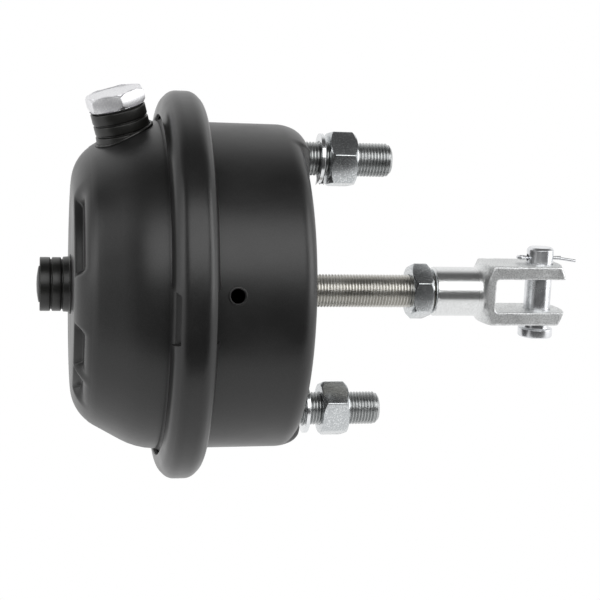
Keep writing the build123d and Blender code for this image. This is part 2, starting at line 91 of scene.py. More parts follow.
def placeCamera(v):
    az, el, roll = (math.radians(v[k]) for k in ("azimuth", "elevation", "roll"))
    look = Vector((math.sin(az) * math.cos(el), math.cos(az) * math.cos(el), -math.sin(el)))
    right = Vector((math.cos(az), -math.sin(az), 0.0))
    up = right.cross(look)
    r = math.cos(roll) * right + math.sin(roll) * up
    u = -math.sin(roll) * right + math.cos(roll) * up
    place = (Vector(v["target"]) - v["distance"] * look) * mm
    data = bpy.data.cameras.new("camera")
    data.sensor_width = v["sensor"]
    data.lens = v["focal"] / v["frameWidth"] * v["sensor"]
    data.clip_end = v["farthest"]
    cam = newObject("camera", data)
    columns = (r, u, -look, place)
    cam.matrix_world = Matrix([[c[k] for c in columns] for k in range(3)] + [[0, 0, 0, 1]])
    scene.camera = cam


placeCamera(cameraView)
print("camera placed")


# mesh tools
def filletPath(corners, step=9.0):
    # corners are (along, radius, bend); the path gets arcs where bend is above 0
    out = []
    last = len(corners) - 1
    for i, c in enumerate(corners):
        p = np.array(c[:2], float)
        bend = c[2] if len(c) > 2 else 0.0
        if i in (0, last) or bend <= 0:
            out.append(p)
            continue
        a, b = (np.array(corners[k][:2], float) - p for k in (i - 1, i + 1))
        a /= np.linalg.norm(a)
        b /= np.linalg.norm(b)
        between = math.acos(max(-1.0, min(1.0, float(a @ b))))
        turn = math.pi - between
        reach = bend / math.tan(between / 2)
        centre = p + (a + b) / np.linalg.norm(a + b) * (bend / math.sin(between / 2))
        start, end = p + a * reach - centre, p + b * reach - centre
        side = 1.0 if start[0] * end[1] - start[1] * end[0] > 0 else -1.0
        parts = max(2, int(math.degrees(turn) / step) + 1)
        for q in side * turn * np.arange(parts + 1) / parts:
            out.append(centre + (start[0] * math.cos(q) - start[1] * math.sin(q),
                                 start[0] * math.sin(q) + start[1] * math.cos(q)))
    return np.array(out)


def divided(path, longest):
    # adds points to runs longer than the given length
    out = [path[0]]
    for a, b in zip(path[:-1], path[1:]):
        parts = max(1, int(math.ceil(np.linalg.norm(b - a) / longest)))
        out += [a + (b - a) * k / parts for k in range(1, parts + 1)]
    return np.array(out)


def finishMesh(obj, sharp=38.0):
    # one outward direction for all faces, smooth shading up to the sharp angle
    bm = bmesh.new()
    bm.from_mesh(obj.data)
    bmesh.ops.remove_doubles(bm, verts=bm.verts, dist=2e-7)
    bmesh.ops.recalc_face_normals(bm, faces=bm.faces)
    bm.to_mesh(obj.data)
    bm.free()
    obj.data.shade_smooth()
    obj.data.set_sharp_from_angle(angle=math.radians(sharp))


def makePiece(name, verts, faces, sharp=38.0):
    mesh = bpy.data.meshes.new(name)
    mesh.from_pydata([tuple(float(c) for c in v) for v in verts], [], faces)
    mesh.validate()
    obj = newObject(name, mesh)
    finishMesh(obj, sharp)
    return obj


def evaluatedMesh(obj):
    return bpy.data.meshes.new_from_object(obj.evaluated_get(bpy.context.evaluated_depsgraph_get()))


def applyModifiers(obj):
    made = evaluatedMesh(obj)
    obj.modifiers.clear()
    old = obj.data
    obj.data = made
    bpy.data.meshes.remove(old)


def axisFrame(origin, axis, side):
    # columns: side, cross, axis
    w = Vector(axis).normalized()
    u = (Vector(side) - w * Vector(side).dot(w)).normalized()
    v = w.cross(u)
    return np.array(origin, float), np.array(u), np.array(v), np.array(w)


alongX = axisFrame((0, 0, 0), (1, 0, 0), (0, -1, 0))


def shiftedX(x, z=0.0):
    return axisFrame((x, 0, z), (1, 0, 0), (0, -1, 0))


def gridPiece(name, along, radius, angles, place=alongX, sharp=38.0):
    # one row for each profile point, one column for each angle; both ways closed
    o, u, v, w = place
    m, n = along.shape
    c, s = np.cos(angles), np.sin(angles)
    pts = (o + along[..., None] * w + (radius * c)[..., None] * u + (radius * s)[..., None] * v) * mm
    faces = []
    for i in range(m):
        k = (i + 1) % m
        for j in range(n):
            l = (j + 1) % n
            faces.append((i * n + j, k * n + j, k * n + l, i * n + l))
    return makePiece(name, pts.reshape(-1, 3), faces, sharp)


def lathe(name, path, place=alongX, spin=96, sharp=38.0):
    # a path that starts and ends on the axis is closed there, any other is closed on itself
    path = np.asarray(path, float)
    angles = np.linspace(0, 2 * math.pi, spin, endpoint=False)
    if path[0][1] > 1e-6 or path[-1][1] > 1e-6:
        along, radius = (np.repeat(path[:, k:k + 1], spin, 1) for k in (0, 1))
        return gridPiece(name, along, radius, angles, place, sharp)
    o, u, v, w = place
    inner = path[1:-1]
    verts = [o + a * w + r * (math.cos(t) * u + math.sin(t) * v) for a, r in inner for t in angles]
    n, m = spin, len(inner)
    faces = [(i * n + j, (i + 1) * n + j, (i + 1) * n + (j + 1) % n, i * n + (j + 1) % n)
             for i in range(m - 1) for j in range(n)]
    verts += [o + path[0][0] * w, o + path[-1][0] * w]
    faces += [(m * n, j, (j + 1) % n) for j in range(n)]
    faces += [(m * n + 1, (m - 1) * n + (j + 1) % n, (m - 1) * n + j) for j in range(n)]
    return makePiece(name, np.array(verts) * mm, faces, sharp)


def smoothStep(x):
    x = np.clip(x, 0.0, 1.0)
    return x * x * (3 - 2 * x)


def spanMask(angles, top, turn, softHigh, softLow):
    # 1 inside the span that runs down from top, fading over the soft degrees at each end
    d = (top - np.degrees(angles)) % 360.0
    d = np.where(d > 360.0 - softHigh, d - 360.0, d)
    return smoothStep(d / softHigh + 0.5) * smoothStep((turn - d) / softLow + 0.5)


def angleList(edges, coarse=1.5, fine=0.35, reach=2.8):
    # even steps all round, closer together near the given angles
    out = set(np.round(np.arange(0, 360, coarse), 4))
    for e in edges:
        out |= {round(float(a) % 360.0, 4) for a in np.arange(e - reach, e + reach + 1e-6, fine)}
    out = np.array(sorted(out))
    keep = np.concatenate(([True], np.diff(out) > 0.6 * fine))
    return np.radians(out[keep])


# hexagons: nuts and the port plug
hexLook = {
    "cornerIn": 0.1085,       # the corners are rounded off by this much
    "cornerSteps": (0.6, 1.4, 2.6, 4.0),      # points this far from a corner
    "flatStep": 5.0,
    "chamferSlope": 42.0,
    "chamferRows": (0.35, 0.7, 1.0),
    "chamferDown": 0.06,
    "edge": 0.25,             # rounding between chamfer and flats
    "poleR": 0.02,
    "sharp": 24.0,
}


def hexOutline(flats):
    # angles and radii of a hexagon with rounded corners
    h = hexLook
    near = [60 * k + 30 + sign * s for k in range(6) for s in h["cornerSteps"] for sign in (-1, 1)]
    t = np.unique(np.round(np.radians(np.concatenate([np.arange(0, 360, h["flatStep"]), near])), 6))
    a = (t + math.pi / 6) % (math.pi / 3) - math.pi / 6
    return t, np.minimum(flats / 2 / np.cos(a), flats / math.sqrt(3.0) - h["cornerIn"])


def closePoles(obj, o, w, ends):
    # the tiny rings on the axis become poles, and the wall between them goes
    bm = bmesh.new()
    bm.from_mesh(obj.data)
    rings = []
    for at in ends:
        rings.append([])
        for x in bm.verts:
            p = np.array(x.co) / mm - o
            if abs(p @ w - at) < 1e-3 and np.linalg.norm(p - (p @ w) * w) < 2.5 * hexLook["poleR"]:
                rings[-1].append(x)
    between = [f for f in bm.faces if all(x in rings[0] or x in rings[1] for x in f.verts)]
    bmesh.ops.delete(bm, geom=between, context="FACES_ONLY")
    for ring in rings:
        middle = sum((np.array(x.co) for x in ring), np.zeros(3)) / len(ring)
        bmesh.ops.pointmerge(bm, verts=ring, merge_co=Vector(middle))
    bm.to_mesh(obj.data)
    bm.free()
    finishMesh(obj, hexLook["sharp"])


def hexPiece(name, flats, height, bevel, place, turn, bore=0.0, boreBevel=0.9, faceIn=0.35):
    # bevel is how far the chamfer's cone comes in from the corners; without a bore the faces sink in
    h = hexLook
    t, wall = hexOutline(flats)
    one = np.ones_like(t)
    faceR = flats / math.sqrt(3.0) - bevel
    slope = math.tan(math.radians(h["chamferSlope"]))

    def end(z, sign):
        # rows from the bore or the axis out to the wall at one end
        if bore:
            rows = [(z - sign * boreBevel, bore * one), (z, (bore + boreBevel) * one)]
        else:
            rows = [(z - sign * faceIn, r * one) for r in (h["poleR"], faceR - 1.2)]
        rows += [(z, (faceR - 0.5) * one), (z - sign * h["chamferDown"], (faceR + 0.25) * one)]
        for f in h["chamferRows"]:
            r = faceR + (wall - h["edge"] * 0.6 - faceR) * f
            rows.append((z - sign * (h["chamferDown"] + (r - faceR) * slope), r))
        return rows + [(z - sign * (h["chamferDown"] + h["edge"] + (wall - faceR) * slope), wall)]

    rows = end(0.0, -1) + end(height, 1)[::-1]
    along = np.array([np.broadcast_to(a, t.shape) for a, r in rows])
    radius = np.array([r for a, r in rows])
    o, u, v, w = place
    c, s = math.cos(math.radians(turn)), math.sin(math.radians(turn))
    obj = gridPiece(name, along, radius, t, (o, c * u + s * v, -s * u + c * v, w), h["sharp"])
    if not bore:
        closePoles(obj, o, w, (along[0, 0], along[-1, 0]))
    return obj


def joined(name, parts, sharp=38.0):
    # makes one piece of several; each keeps its materials
    bm = bmesh.new()
    mats = []
    for p in parts:
        first = len(bm.faces)
        bm.from_mesh(p.data)
        bm.faces.ensure_lookup_table()
        own = list(p.data.materials) or [None]
        for f in bm.faces[first:]:
            m = own[min(f.material_index, len(own) - 1)]
            if m not in mats:
                mats.append(m)
            f.material_index = mats.index(m)
        old = p.data
        bpy.data.objects.remove(p)
        bpy.data.meshes.remove(old)
    mesh = bpy.data.meshes.new(name)
    bm.to_mesh(mesh)
    bm.free()
    for m in filter(None, mats):
        mesh.materials.append(m)
    mesh.set_sharp_from_angle(angle=math.radians(sharp))
    return newObject(name, mesh)


def dress(obj, material, body="housing", replaced=()):
    # finish and body of one piece; the CAD parts it replaces are hidden
    if not obj.data.materials:
        obj.data.materials.append(material)
    if body:
        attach(obj, body)
    if replaced:
        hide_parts(*replaced)


# node tools
def newSocket(tree, name, kind, value=None, way="INPUT"):
    s = tree.interface.new_socket(name, in_out=way, socket_type="NodeSocket" + kind)
    if value is not None:
        s.default_value = value
    return s.identifier


def feed(tree, value, socket):
    # a node's output is linked; a number, vector or colour is set
    if isinstance(value, bpy.types.NodeSocket):
        tree.links.new(value, socket)
    elif isinstance(value, tuple) and socket.type == "RGBA":
        socket.default_value = (*value, 1)
    elif value is not None:
        socket.default_value = value


def addMaths(tree, operation, a, b=None, clamp=False):
    m = tree.nodes.new("ShaderNodeMath")
    m.operation = operation
    m.use_clamp = clamp
    feed(tree, a, m.inputs[0])
    feed(tree, b, m.inputs[1])
    return m.outputs[0]


def addVectorMaths(tree, operation, a, **others):
    m = tree.nodes.new("ShaderNodeVectorMath")
    m.operation = operation
    feed(tree, a, m.inputs[0])
    for name, value in others.items():
        feed(tree, value, m.inputs[1] if name == "by" else m.inputs["Scale"])
    return m.outputs[0]


def addNode(tree, kind, **values):
    # values are inputs by name, with the spaces left out
    node = tree.nodes.new(kind)
    for socket in node.inputs:
        feed(tree, values.get(socket.name.replace(" ", "")), socket)
    return node


# coils: threads, spring washers, return spring
def buildCoilTree():
    # a spiral along X that carries a four sided or round section and thins out toward its ends
    tree = bpy.data.node_groups.new("coil", "GeometryNodeTree")
    newSocket(tree, "Geometry", "Geometry")
    ids = {
        "turns": newSocket(tree, "Turns", "Float", 10.0),
        "startRadius": newSocket(tree, "Start Radius", "Float", 0.008),
        "endRadius": newSocket(tree, "End Radius", "Float", 0.008),
        "length": newSocket(tree, "Length", "Float", 0.02),
        "foot": newSocket(tree, "Section Foot", "Float", 0.0015),
        "crest": newSocket(tree, "Section Crest", "Float", 0.0003),
        "height": newSocket(tree, "Section Height", "Float", 0.0009),
        "round": newSocket(tree, "Round Section", "Bool", False),
        "steps": newSocket(tree, "Steps per Turn", "Int", 32),
        "fade": newSocket(tree, "Fade Turns", "Float", 0.5),
        "start": newSocket(tree, "Start", "Vector", (0.0, 0.0, 0.0)),
        "clock": newSocket(tree, "Clock", "Float", 0.0),
        "material": newSocket(tree, "Material", "Material"),
    }
    newSocket(tree, "Geometry", "Geometry", way="OUTPUT")
    n, link = tree.nodes, tree.links.new
    given, result = n.new("NodeGroupInput").outputs, n.new("NodeGroupOutput")
    maths, add = partial(addMaths, tree), partial(addNode, tree)

    spiral = add("GeometryNodeCurveSpiral", Resolution=given["Steps per Turn"], Rotations=given["Turns"],
                 StartRadius=given["Start Radius"], EndRadius=given["End Radius"], Height=given["Length"])

    # the ends are pulled toward the axis
    along = add("GeometryNodeSplineParameter").outputs["Factor"]
    fromEnd = maths("MINIMUM", along, maths("SUBTRACT", 1.0, along))
    kept = maths("DIVIDE", maths("MULTIPLY", fromEnd, given["Turns"]), given["Fade Turns"], True)
    flat = addVectorMaths(tree, "MULTIPLY", add("GeometryNodeInputPosition").outputs[0], by=(1, 1, 0))
    inward = maths("MULTIPLY", maths("SUBTRACT", kept, 1.0), given["Section Height"])
    shift = addVectorMaths(tree, "SCALE", addVectorMaths(tree, "NORMALIZE", flat), scale=inward)
    faded = add("GeometryNodeSetPosition", Geometry=spiral.outputs[0], Offset=shift)
    upright = add("GeometryNodeSetCurveNormal", Curve=faded.outputs[0])
    upright.mode = "Z_UP"

    # the section: a ridge with a foot and a crest, or a round wire
    deep = given["Section Height"]
    halfFoot, halfCrest = (maths("MULTIPLY", given[k], 0.5) for k in ("Section Foot", "Section Crest"))
    ridge = n.new("GeometryNodeCurvePrimitiveQuadrilateral")
    ridge.mode = "POINTS"
    sides = ((deep, halfFoot), (0.0, halfCrest),
             (0.0, maths("MULTIPLY", halfCrest, -1.0)), (deep, maths("MULTIPLY", halfFoot, -1.0)))
    for k, (x, y) in enumerate(sides):
        link(add("ShaderNodeCombineXYZ", X=x, Y=y).outputs[0], ridge.inputs["Point %d" % (k + 1)])
    wire = add("GeometryNodeCurvePrimitiveCircle", Resolution=14, Radius=halfFoot)
    section = n.new("GeometryNodeSwitch")
    section.input_type = "GEOMETRY"
    link(given["Round Section"], section.inputs["Switch"])
    link(ridge.outputs[0], section.inputs["False"])
    link(wire.outputs[0], section.inputs["True"])

    solid = add("GeometryNodeCurveToMesh", FillCaps=True, Curve=upright.outputs[0],
                ProfileCurve=section.outputs[0])
    turn = add("ShaderNodeCombineXYZ", Z=given["Clock"])
    spin = add("GeometryNodeTransform", Geometry=solid.outputs[0], Rotation=turn.outputs[0])
    laid = add("GeometryNodeTransform", Geometry=spin.outputs[0], Rotation=(0.0, math.pi / 2, 0.0),
               Translation=given["Start"])
    real = add("GeometryNodeRealizeInstances", Geometry=laid.outputs[0])
    finish = add("GeometryNodeSetMaterial", Geometry=real.outputs[0], Material=given["Material"])
    link(finish.outputs[0], result.inputs[0])
    return tree, ids


coilTree, coilInputs = buildCoilTree()


def coilPiece(name, material, sharp=24.0, **values):
    # values are the tree's inputs, lengths in metres
    seed = bpy.data.meshes.new(name + "Seed")
    obj = newObject(name + "Seed", seed)
    mod = obj.modifiers.new("coil", "NODES")
    mod.node_group = coilTree
    for key, value in dict(values, material=material).items():
        mod[coilInputs[key]] = value
    made = evaluatedMesh(obj)
    made.name = name
    bpy.data.objects.remove(obj)
    bpy.data.meshes.remove(seed)
    obj = newObject(name, made)
    finishMesh(obj, sharp)
    return obj


# finishes
def noiseGroup(name, scale, detail, roughness, stretch=(1, 1, 1)):
    # object coordinates in, one value out
    g = bpy.data.node_groups.new(name, "ShaderNodeTree")
    newSocket(g, "Scale", "Float", scale)
    newSocket(g, "Value", "Float", way="OUTPUT")
    given, result = g.nodes.new("NodeGroupInput"), g.nodes.new("NodeGroupOutput")
    coord = g.nodes.new("ShaderNodeTexCoord")
    mapping = addNode(g, "ShaderNodeMapping", Vector=coord.outputs["Object"], Scale=stretch)
    tex = addNode(g, "ShaderNodeTexNoise", Vector=mapping.outputs[0], Scale=given.outputs["Scale"],
                  Detail=detail, Roughness=roughness)
    g.links.new(tex.outputs["Fac"], result.inputs["Value"])
    return g


fineGrain = noiseGroup("fineGrain", 1400.0, 3.0, 0.6)
softCloud = noiseGroup("softCloud", 45.0, 4.0, 0.55)
specks = noiseGroup("specks", 1500.0, 1.0, 0.4)
turnedLines = noiseGroup("turnedLines", 900.0, 3.0, 0.6, (1.0, 0.06, 0.06))


def newMaterial(name):
    mat = bpy.data.materials.new(name)
    mat.use_nodes = True
    return mat, mat.node_tree, mat.node_tree.nodes["Principled BSDF"]


def addValue(nt, group, scale):
    node = nt.nodes.new("ShaderNodeGroup")
    node.node_tree = group
    node.inputs["Scale"].default_value = scale
    return node.outputs["Value"]


def ramp(nt, source, stops):
    # stops are (place, colour or grey)
    r = nt.nodes.new("ShaderNodeValToRGB")
    while len(r.color_ramp.elements) < len(stops):
        r.color_ramp.elements.new(0.5)
    for e, (at, c) in zip(r.color_ramp.elements, stops):
        e.position = at
        e.color = (c, c, c, 1) if isinstance(c, (int, float)) else (*c, 1)
    nt.links.new(source, r.inputs[0])
    return r.outputs[0]


def addBump(nt, bsdf, source, distance, strength, under=None):
    b = addNode(nt, "ShaderNodeBump", Distance=distance, Strength=strength, Height=source, Normal=under)
    nt.links.new(b.outputs[0], bsdf.inputs["Normal"])
    return b.outputs[0]


def mixColour(nt, factor, a, b, mode="MIX"):
    m = nt.nodes.new("ShaderNodeMix")
    m.data_type = "RGBA"
    m.blend_type = mode
    for key, value in (("Factor", factor), ("A", a), ("B", b)):
        feed(nt, value, m.inputs[key])
    return m.outputs["Result"]


def paintMaterial(name, dark, pale, rough, grain=1.0):
    # satin black paint: a fine grain, and soft clouds in colour and gloss
    mat, nt, bsdf = newMaterial(name)
    cloud = addValue(nt, softCloud, 38.0)
    fine = addValue(nt, fineGrain, 2100.0)
    colour = ramp(nt, cloud, ((0.3, dark), (0.7, pale)))
    speck = ramp(nt, fine, ((0.4, 0.75), (0.62, 1.25)))
    nt.links.new(mixColour(nt, 1.0, colour, speck, "MULTIPLY"), bsdf.inputs["Base Color"])
    nt.links.new(ramp(nt, cloud, ((0.25, rough - 0.05), (0.75, rough + 0.06))), bsdf.inputs["Roughness"])
    peel = addBump(nt, bsdf, addValue(nt, softCloud, 330.0), 0.00006 * grain, 0.6)
    addBump(nt, bsdf, fine, 0.00003 * grain, 0.7, peel)
    return mat


def metalMaterial(name, dark, pale, rough, speckled=1.0, lines=0.0):
    # plated steel: fine light and dark specks, uneven gloss and a little texture
    mat, nt, bsdf = newMaterial(name)
    bsdf.inputs["Metallic"].default_value = 1.0
    cloud = addValue(nt, softCloud, 70.0)
    under = None
    if speckled:
        patch = addValue(nt, specks, 1500.0)
        middle = tuple(0.7 * a + 0.3 * b for a, b in zip(dark, pale))
        colour = ramp(nt, patch, ((0.38, dark), (0.58, middle), (0.70, pale)))
        under = addBump(nt, bsdf, patch, 0.00002 * speckled, 0.5)
    else:
        colour = ramp(nt, cloud, ((0.3, dark), (0.7, pale)))
    nt.links.new(colour, bsdf.inputs["Base Color"])
    nt.links.new(ramp(nt, cloud, ((0.3, rough - 0.04), (0.7, rough + 0.05))), bsdf.inputs["Roughness"])
    if lines:
        under = addBump(nt, bsdf, addValue(nt, turnedLines, 1800.0), 0.00002 * lines, 0.5, under)
    addBump(nt, bsdf, addValue(nt, fineGrain, 2600.0), 0.000006, 0.5, under)
    return mat


def softMaterial(name, dark, pale, rough):
    # rubber and plastic
    mat, nt, bsdf = newMaterial(name)
    cloud = addValue(nt, softCloud, 120.0)
    gloss = ramp(nt, addValue(nt, fineGrain, 900.0), ((0.3, rough - 0.05), (0.7, rough + 0.05)))
    nt.links.new(ramp(nt, cloud, ((0.3, dark), (0.7, pale))), bsdf.inputs["Base Color"])
    nt.links.new(gloss, bsdf.inputs["Roughness"])
    addBump(nt, bsdf, addValue(nt, fineGrain, 1500.0), 0.00003, 0.6)
    return mat


# name, dark, pale, roughness, then grain, or specks and lines
shellPaint = paintMaterial("shellPaint", (0.009, 0.009, 0.009), (0.013, 0.013, 0.013), 0.36, 0.7)
ringPaint = paintMaterial("ringPaint", (0.008, 0.008, 0.008), (0.012, 0.012, 0.012), 0.32, 0.6)
bossPaint = paintMaterial("bossPaint", (0.007, 0.007, 0.006), (0.011, 0.011, 0.010), 0.34, 0.6)
nutZinc = metalMaterial("nutZinc", (0.50, 0.52, 0.53), (0.80, 0.82, 0.83), 0.24, 0.35)
studZinc = metalMaterial("studZinc", (0.40, 0.41, 0.41), (0.54, 0.55, 0.55), 0.33, 0.0)
rodZinc = metalMaterial("rodZinc", (0.50, 0.49, 0.46), (0.62, 0.61, 0.58), 0.30, 0.0)
plugZinc = metalMaterial("plugZinc", (0.82, 0.82, 0.84), (0.97, 0.97, 0.98), 0.46, 0.3)
# the plug's outer face: a darker copy of the plug's zinc, painted shade
plugTopPaintedShade = metalMaterial("plugTopPaintedShade", (0.27, 0.26, 0.29), (0.33, 0.32, 0.35), 0.45, 0.0)
washerZinc = metalMaterial("washerZinc", (0.62, 0.64, 0.65), (0.84, 0.85, 0.86), 0.20, 0.0)
pinSteel = metalMaterial("pinSteel", (0.62, 0.63, 0.65), (0.84, 0.85, 0.87), 0.26, 0.0, 0.6)
innerSteel = metalMaterial("innerSteel", (0.20, 0.21, 0.22), (0.34, 0.35, 0.37), 0.42)
springPaint = softMaterial("springPaint", (0.020, 0.021, 0.024), (0.032, 0.033, 0.037), 0.38)
darkPlastic = softMaterial("darkPlastic", (0.012, 0.012, 0.013), (0.022, 0.022, 0.024), 0.45)
rubber = softMaterial("rubber", (0.014, 0.014, 0.014), (0.024, 0.024, 0.023), 0.62)
print("finishes made")


# both shells: shared sizes
shells = {
    "sheet": 3.0,
    "springDepth": 56.1,      # mounting face to the clamp's middle
    "springEndR": 75.625,
    "shellR": 75.825,
    "cornerR": 8.0,
    "cornerRIn": 4.4,
    "faceDrop": 3.2,
    "bandHalf": 27.0,         # the stud band's half width
    "bandSoft": 3.4,
    "holeR": 22.0,
    "holeRound": 1.2,
    "ventR": 3.4,
    "ventBack": 38.4,
    "ventAngle": 6.5,
    "pressureDepth": 49.0,
    "endHoleR": 12.2,         # under the end port's boss
    "coneIn": 16.9,
    "collarLen": 9.0,
    "shoulderR": 20.0,
    "kneeR": 34.0,
    "kneeOut": 0.6,           # the wall is this much fuller at the knee
    "flangeLen": 7.8,
    "flangeLap": 4.0,         # how far the rim reaches down inside
    "rimBend": 0.8,
    "rootBend": {-1: 3.0, 1: 1.5},
    "rootBendIn": 4.5,
    "clampClear": 0.3,
    # top end, width, softness of the top and of the low end
    "pockets": ((54.0, 39.0, 11.0, 4.5), (-10.4, 21.1, 4.5, 4.0), (-35.5, 16.5, 4.0, 5.0)),
    "pocketDepth": 4.5,
    "pocketCornerR": 8.0,
    "plateauStep": 3.5,
}
clamp = {
    "crownR": 9.8,
    "crownTurn": 45.0,        # the crown ends this far above the horizontal
    "sheet": 3.0,
    "legLean": 27.0,
    "legGap": 0.12,
    # outer line from lip to lip: along, above the crown's middle, bend
    "outer": ((-10.3, -1.4, 0), (-9.0, 5.4, 6.5), (-4.9, 9.7, 6.0),
              (4.6, 9.7, 6.0), (8.6, 5.8, 5.0), (9.8, -1.4, 0)),
    "innerR": 6.75,
    "innerLip": 7.72,
    "cutAt": (-6.4, 7.6),     # what is left in a notch, along
    "notches": 2,
    "notchTop": {-1: 8.3, 1: 8.7},
    "notchLow": {-1: -7.3, 1: -7.0},
    "topSoft": {-1: 3.4, 1: 1.3},
    "lowSoft": {-1: 1.7, 1: 1.3},
    "notchLeft": 0.07,        # share of a leg's length that stays in a notch
    "lipFlare": 0.7,          # lips bend out beside the notches
    "lipFlareReach": 5.0,
    "edgeR": 0.7,
}
ringX = -shells["springDepth"]
lean = math.radians(clamp["legLean"])
leanSin, leanCos = math.sin(lean), math.cos(lean)
legR = clamp["crownR"] * math.cos(math.radians(clamp["crownTurn"] - clamp["legLean"]))
flangeR = legR - clamp["sheet"] - shells["clampClear"]
crownAxisR = shells["shellR"] + shells["flangeLen"] * leanCos - flangeR * leanSin
endX = ringX - shells["pressureDepth"]
kneeX = ringX - flangeR * leanCos - shells["flangeLen"] * leanSin - shells["collarLen"]
coneTurn = math.atan2(shells["coneIn"], kneeX - endX)
coneEndR = shells["shellR"] - shells["coneIn"]
flatR = coneEndR - shells["shoulderR"] * math.tan((math.pi / 2 - coneTurn) / 2)


def legPoint(side, r, down=0.0):
    return (ringX + side * (r * leanCos + down * leanSin), crownAxisR + r * leanSin - down * leanCos)


def flangeRoot(side, depth):
    return legPoint(side, flangeR - depth, shells["flangeLen"] + depth * (1 - leanSin) / leanCos)


def flangeLine(side):
    # outside root, rim and inner edge of a flange
    s = shells
    within = flangeR - s["sheet"]
    return [(*flangeRoot(side, 0), s["rootBend"][side]), (*legPoint(side, flangeR), s["rimBend"]),
            (*legPoint(side, within), s["rimBend"]), (*legPoint(side, within, s["flangeLap"]), 0)]


def flangeInside(side):
    s = shells
    return [(*legPoint(side, flangeR - s["sheet"], s["flangeLap"]), 0),
            (*flangeRoot(side, s["sheet"]), s["rootBendIn"])]


def pressureWall(depth):
    # corners of the pressure shell's wall, depth under its outer face
    s = shells
    edge = coneEndR + depth * math.tan(coneTurn) - depth / math.cos(coneTurn)
    knee = kneeX + depth * math.tan(coneTurn / 2)
    return [(endX + depth, edge, s["shoulderR"] - depth),
            (knee, s["shellR"] + s["kneeOut"] - depth, max(s["kneeR"] - depth, 1.5))]


# pressure shell
def wallX(r, depth):
    # the wall's place along X at radius r, over its flat end and shoulder
    reach = shells["shoulderR"] - depth
    rise = np.clip(r - flatR, 0.0, reach * 0.999)
    return endX + shells["shoulderR"] - np.sqrt(reach ** 2 - rise ** 2)


def pocketPath():
    # foot, floor, corner and side wall of a pocket, as (x, r) with r growing
    floorX = endX + shells["pocketDepth"]
    r0 = flatR + shells["plateauStep"]
    bend, shoulder = shells["pocketCornerR"], shells["shoulderR"]
    middle = endX + shoulder
    rise = math.sqrt((shoulder - bend) ** 2 - (floorX + bend - middle) ** 2)
    centre = np.array((floorX + bend, flatR + rise))
    way = math.atan2(rise, centre[0] - middle)
    foot = [(float(wallX(r, 0)), r) for r in (r0 - 1.6, r0)]
    wall = filletPath([foot[0], (*foot[1], 0.9), (floorX, r0 + 1.2, 1.1), (floorX, centre[1], 0)], 22)
    arc = [centre + bend * np.array((math.cos(q), math.sin(q))) for q in np.linspace(math.pi, way, 9)[1:]]
    return divided(np.vstack([wall, arc]), 0.8)


def makePressureShell():
    s = shells
    t = s["sheet"]
    pocket = pocketPath()
    spans = []
    for top, turn, softHigh, softLow in s["pockets"]:
        spans += [(top, turn, softHigh, softLow), (180 - top + turn, turn, softLow, softHigh)]
    angles = angleList([-e for span in spans for e in (span[0], span[0] - span[1])], 1.5, 0.5, 5.0)
    mask = sum(spanMask(-angles, *span) for span in spans)
    outer = divided(filletPath([(endX, s["endHoleR"], 0)] + pressureWall(0) + flangeLine(-1), 7), 3.0)
    inner = flangeInside(-1) + pressureWall(t)[::-1] + [(endX + t, s["endHoleR"], 0)]
    inner = divided(filletPath(inner, 9), 4.0)[1:]
    # the pockets' own points take the place of the shoulder's
    low = [p for p in outer if p[1] < pocket[0][1] - 0.2 and p[0] < endX + 10]
    high = [p for p in outer if p[1] >= pocket[-1][1] + 0.2 or p[0] >= endX + 10]
    wall = [(float(wallX(r, 0)), r) for x, r in pocket]
    pressed = [x - at for (x, r), (at, _) in zip(pocket, wall)]
    # the inside follows the pockets
    back = endX + s["pocketDepth"] + t
    behind = [back - x if x < back and r > flatR + s["plateauStep"] - t else 0.0 for x, r in inner]
    shifts = [0.0] * len(low) + pressed + [0.0] * len(high) + behind
    rows = [*low, *wall, *high, *inner]
    along = np.array([x + shift * mask for (x, r), shift in zip(rows, shifts)])
    radius = np.array([np.full(len(angles), r) for x, r in rows])
    return gridPiece("pressureShell", along, radius, angles, alongX, 32)


dress(makePressureShell(), shellPaint, "housing", ("pressure_shell",))
print("pressure shell made")


# spring side shell
def makeSpringShell():
    s = shells
    drop, t = -s["faceDrop"], s["sheet"]
    hole = [(drop - s["holeRound"], s["holeR"], 0), (drop - 0.35, s["holeR"] + 0.35, 0),
            (drop, s["holeR"] + s["holeRound"], 0)]
    outer = hole + [(drop, s["springEndR"], s["cornerR"])] + flangeLine(1)
    outer = divided(filletPath(outer, 7), 1.3)
    inner = flangeInside(1) + [(drop - t, s["springEndR"] - t, s["cornerRIn"]), (drop - t, s["holeR"], 0)]
    inner = divided(filletPath(inner, 9), 6.0)
    rows = np.vstack([outer, inner[1:]])
    angles = np.radians(np.arange(0, 360, 1.0))
    along, radius = (np.repeat(rows[:, k:k + 1], len(angles), 1) for k in (0, 1))
    # the stud band stands up to the mounting face
    across = np.abs(radius * np.cos(angles))
    band = 1 - smoothStep((across - s["bandHalf"]) / s["bandSoft"] + 0.5)
    depth = s["cornerR"]
    lift = smoothStep((along - (drop - depth)) / depth)
    nearHole = smoothStep((radius - s["holeR"] - 3.0) / 3.0)
    outside = np.arange(len(rows)) < len(outer)
    along = along + np.where(outside[:, None], s["faceDrop"] * band * lift * nearHole, 0.0)
    return gridPiece("springShell", along, radius, angles, alongX, 34)


def cutHole(obj, radius, start, end, spin, sharp):
    # a round hole from start to end, in millimetres
    way = Vector(end) - Vector(start)
    side = (1, 0, 0) if abs(way.normalized().x) < 0.9 else (0, 1, 0)
    path = [(0, 0), (0, radius), (way.length, radius), (way.length, 0)]
    tool = lathe("holeTool", path, axisFrame(start, way, side), spin)
    mod = obj.modifiers.new("hole", "BOOLEAN")
    mod.operation = "DIFFERENCE"
    mod.solver = "EXACT"
    mod.object = tool
    applyModifiers(obj)
    bpy.data.objects.remove(tool)
    obj.data.set_sharp_from_angle(angle=math.radians(sharp))


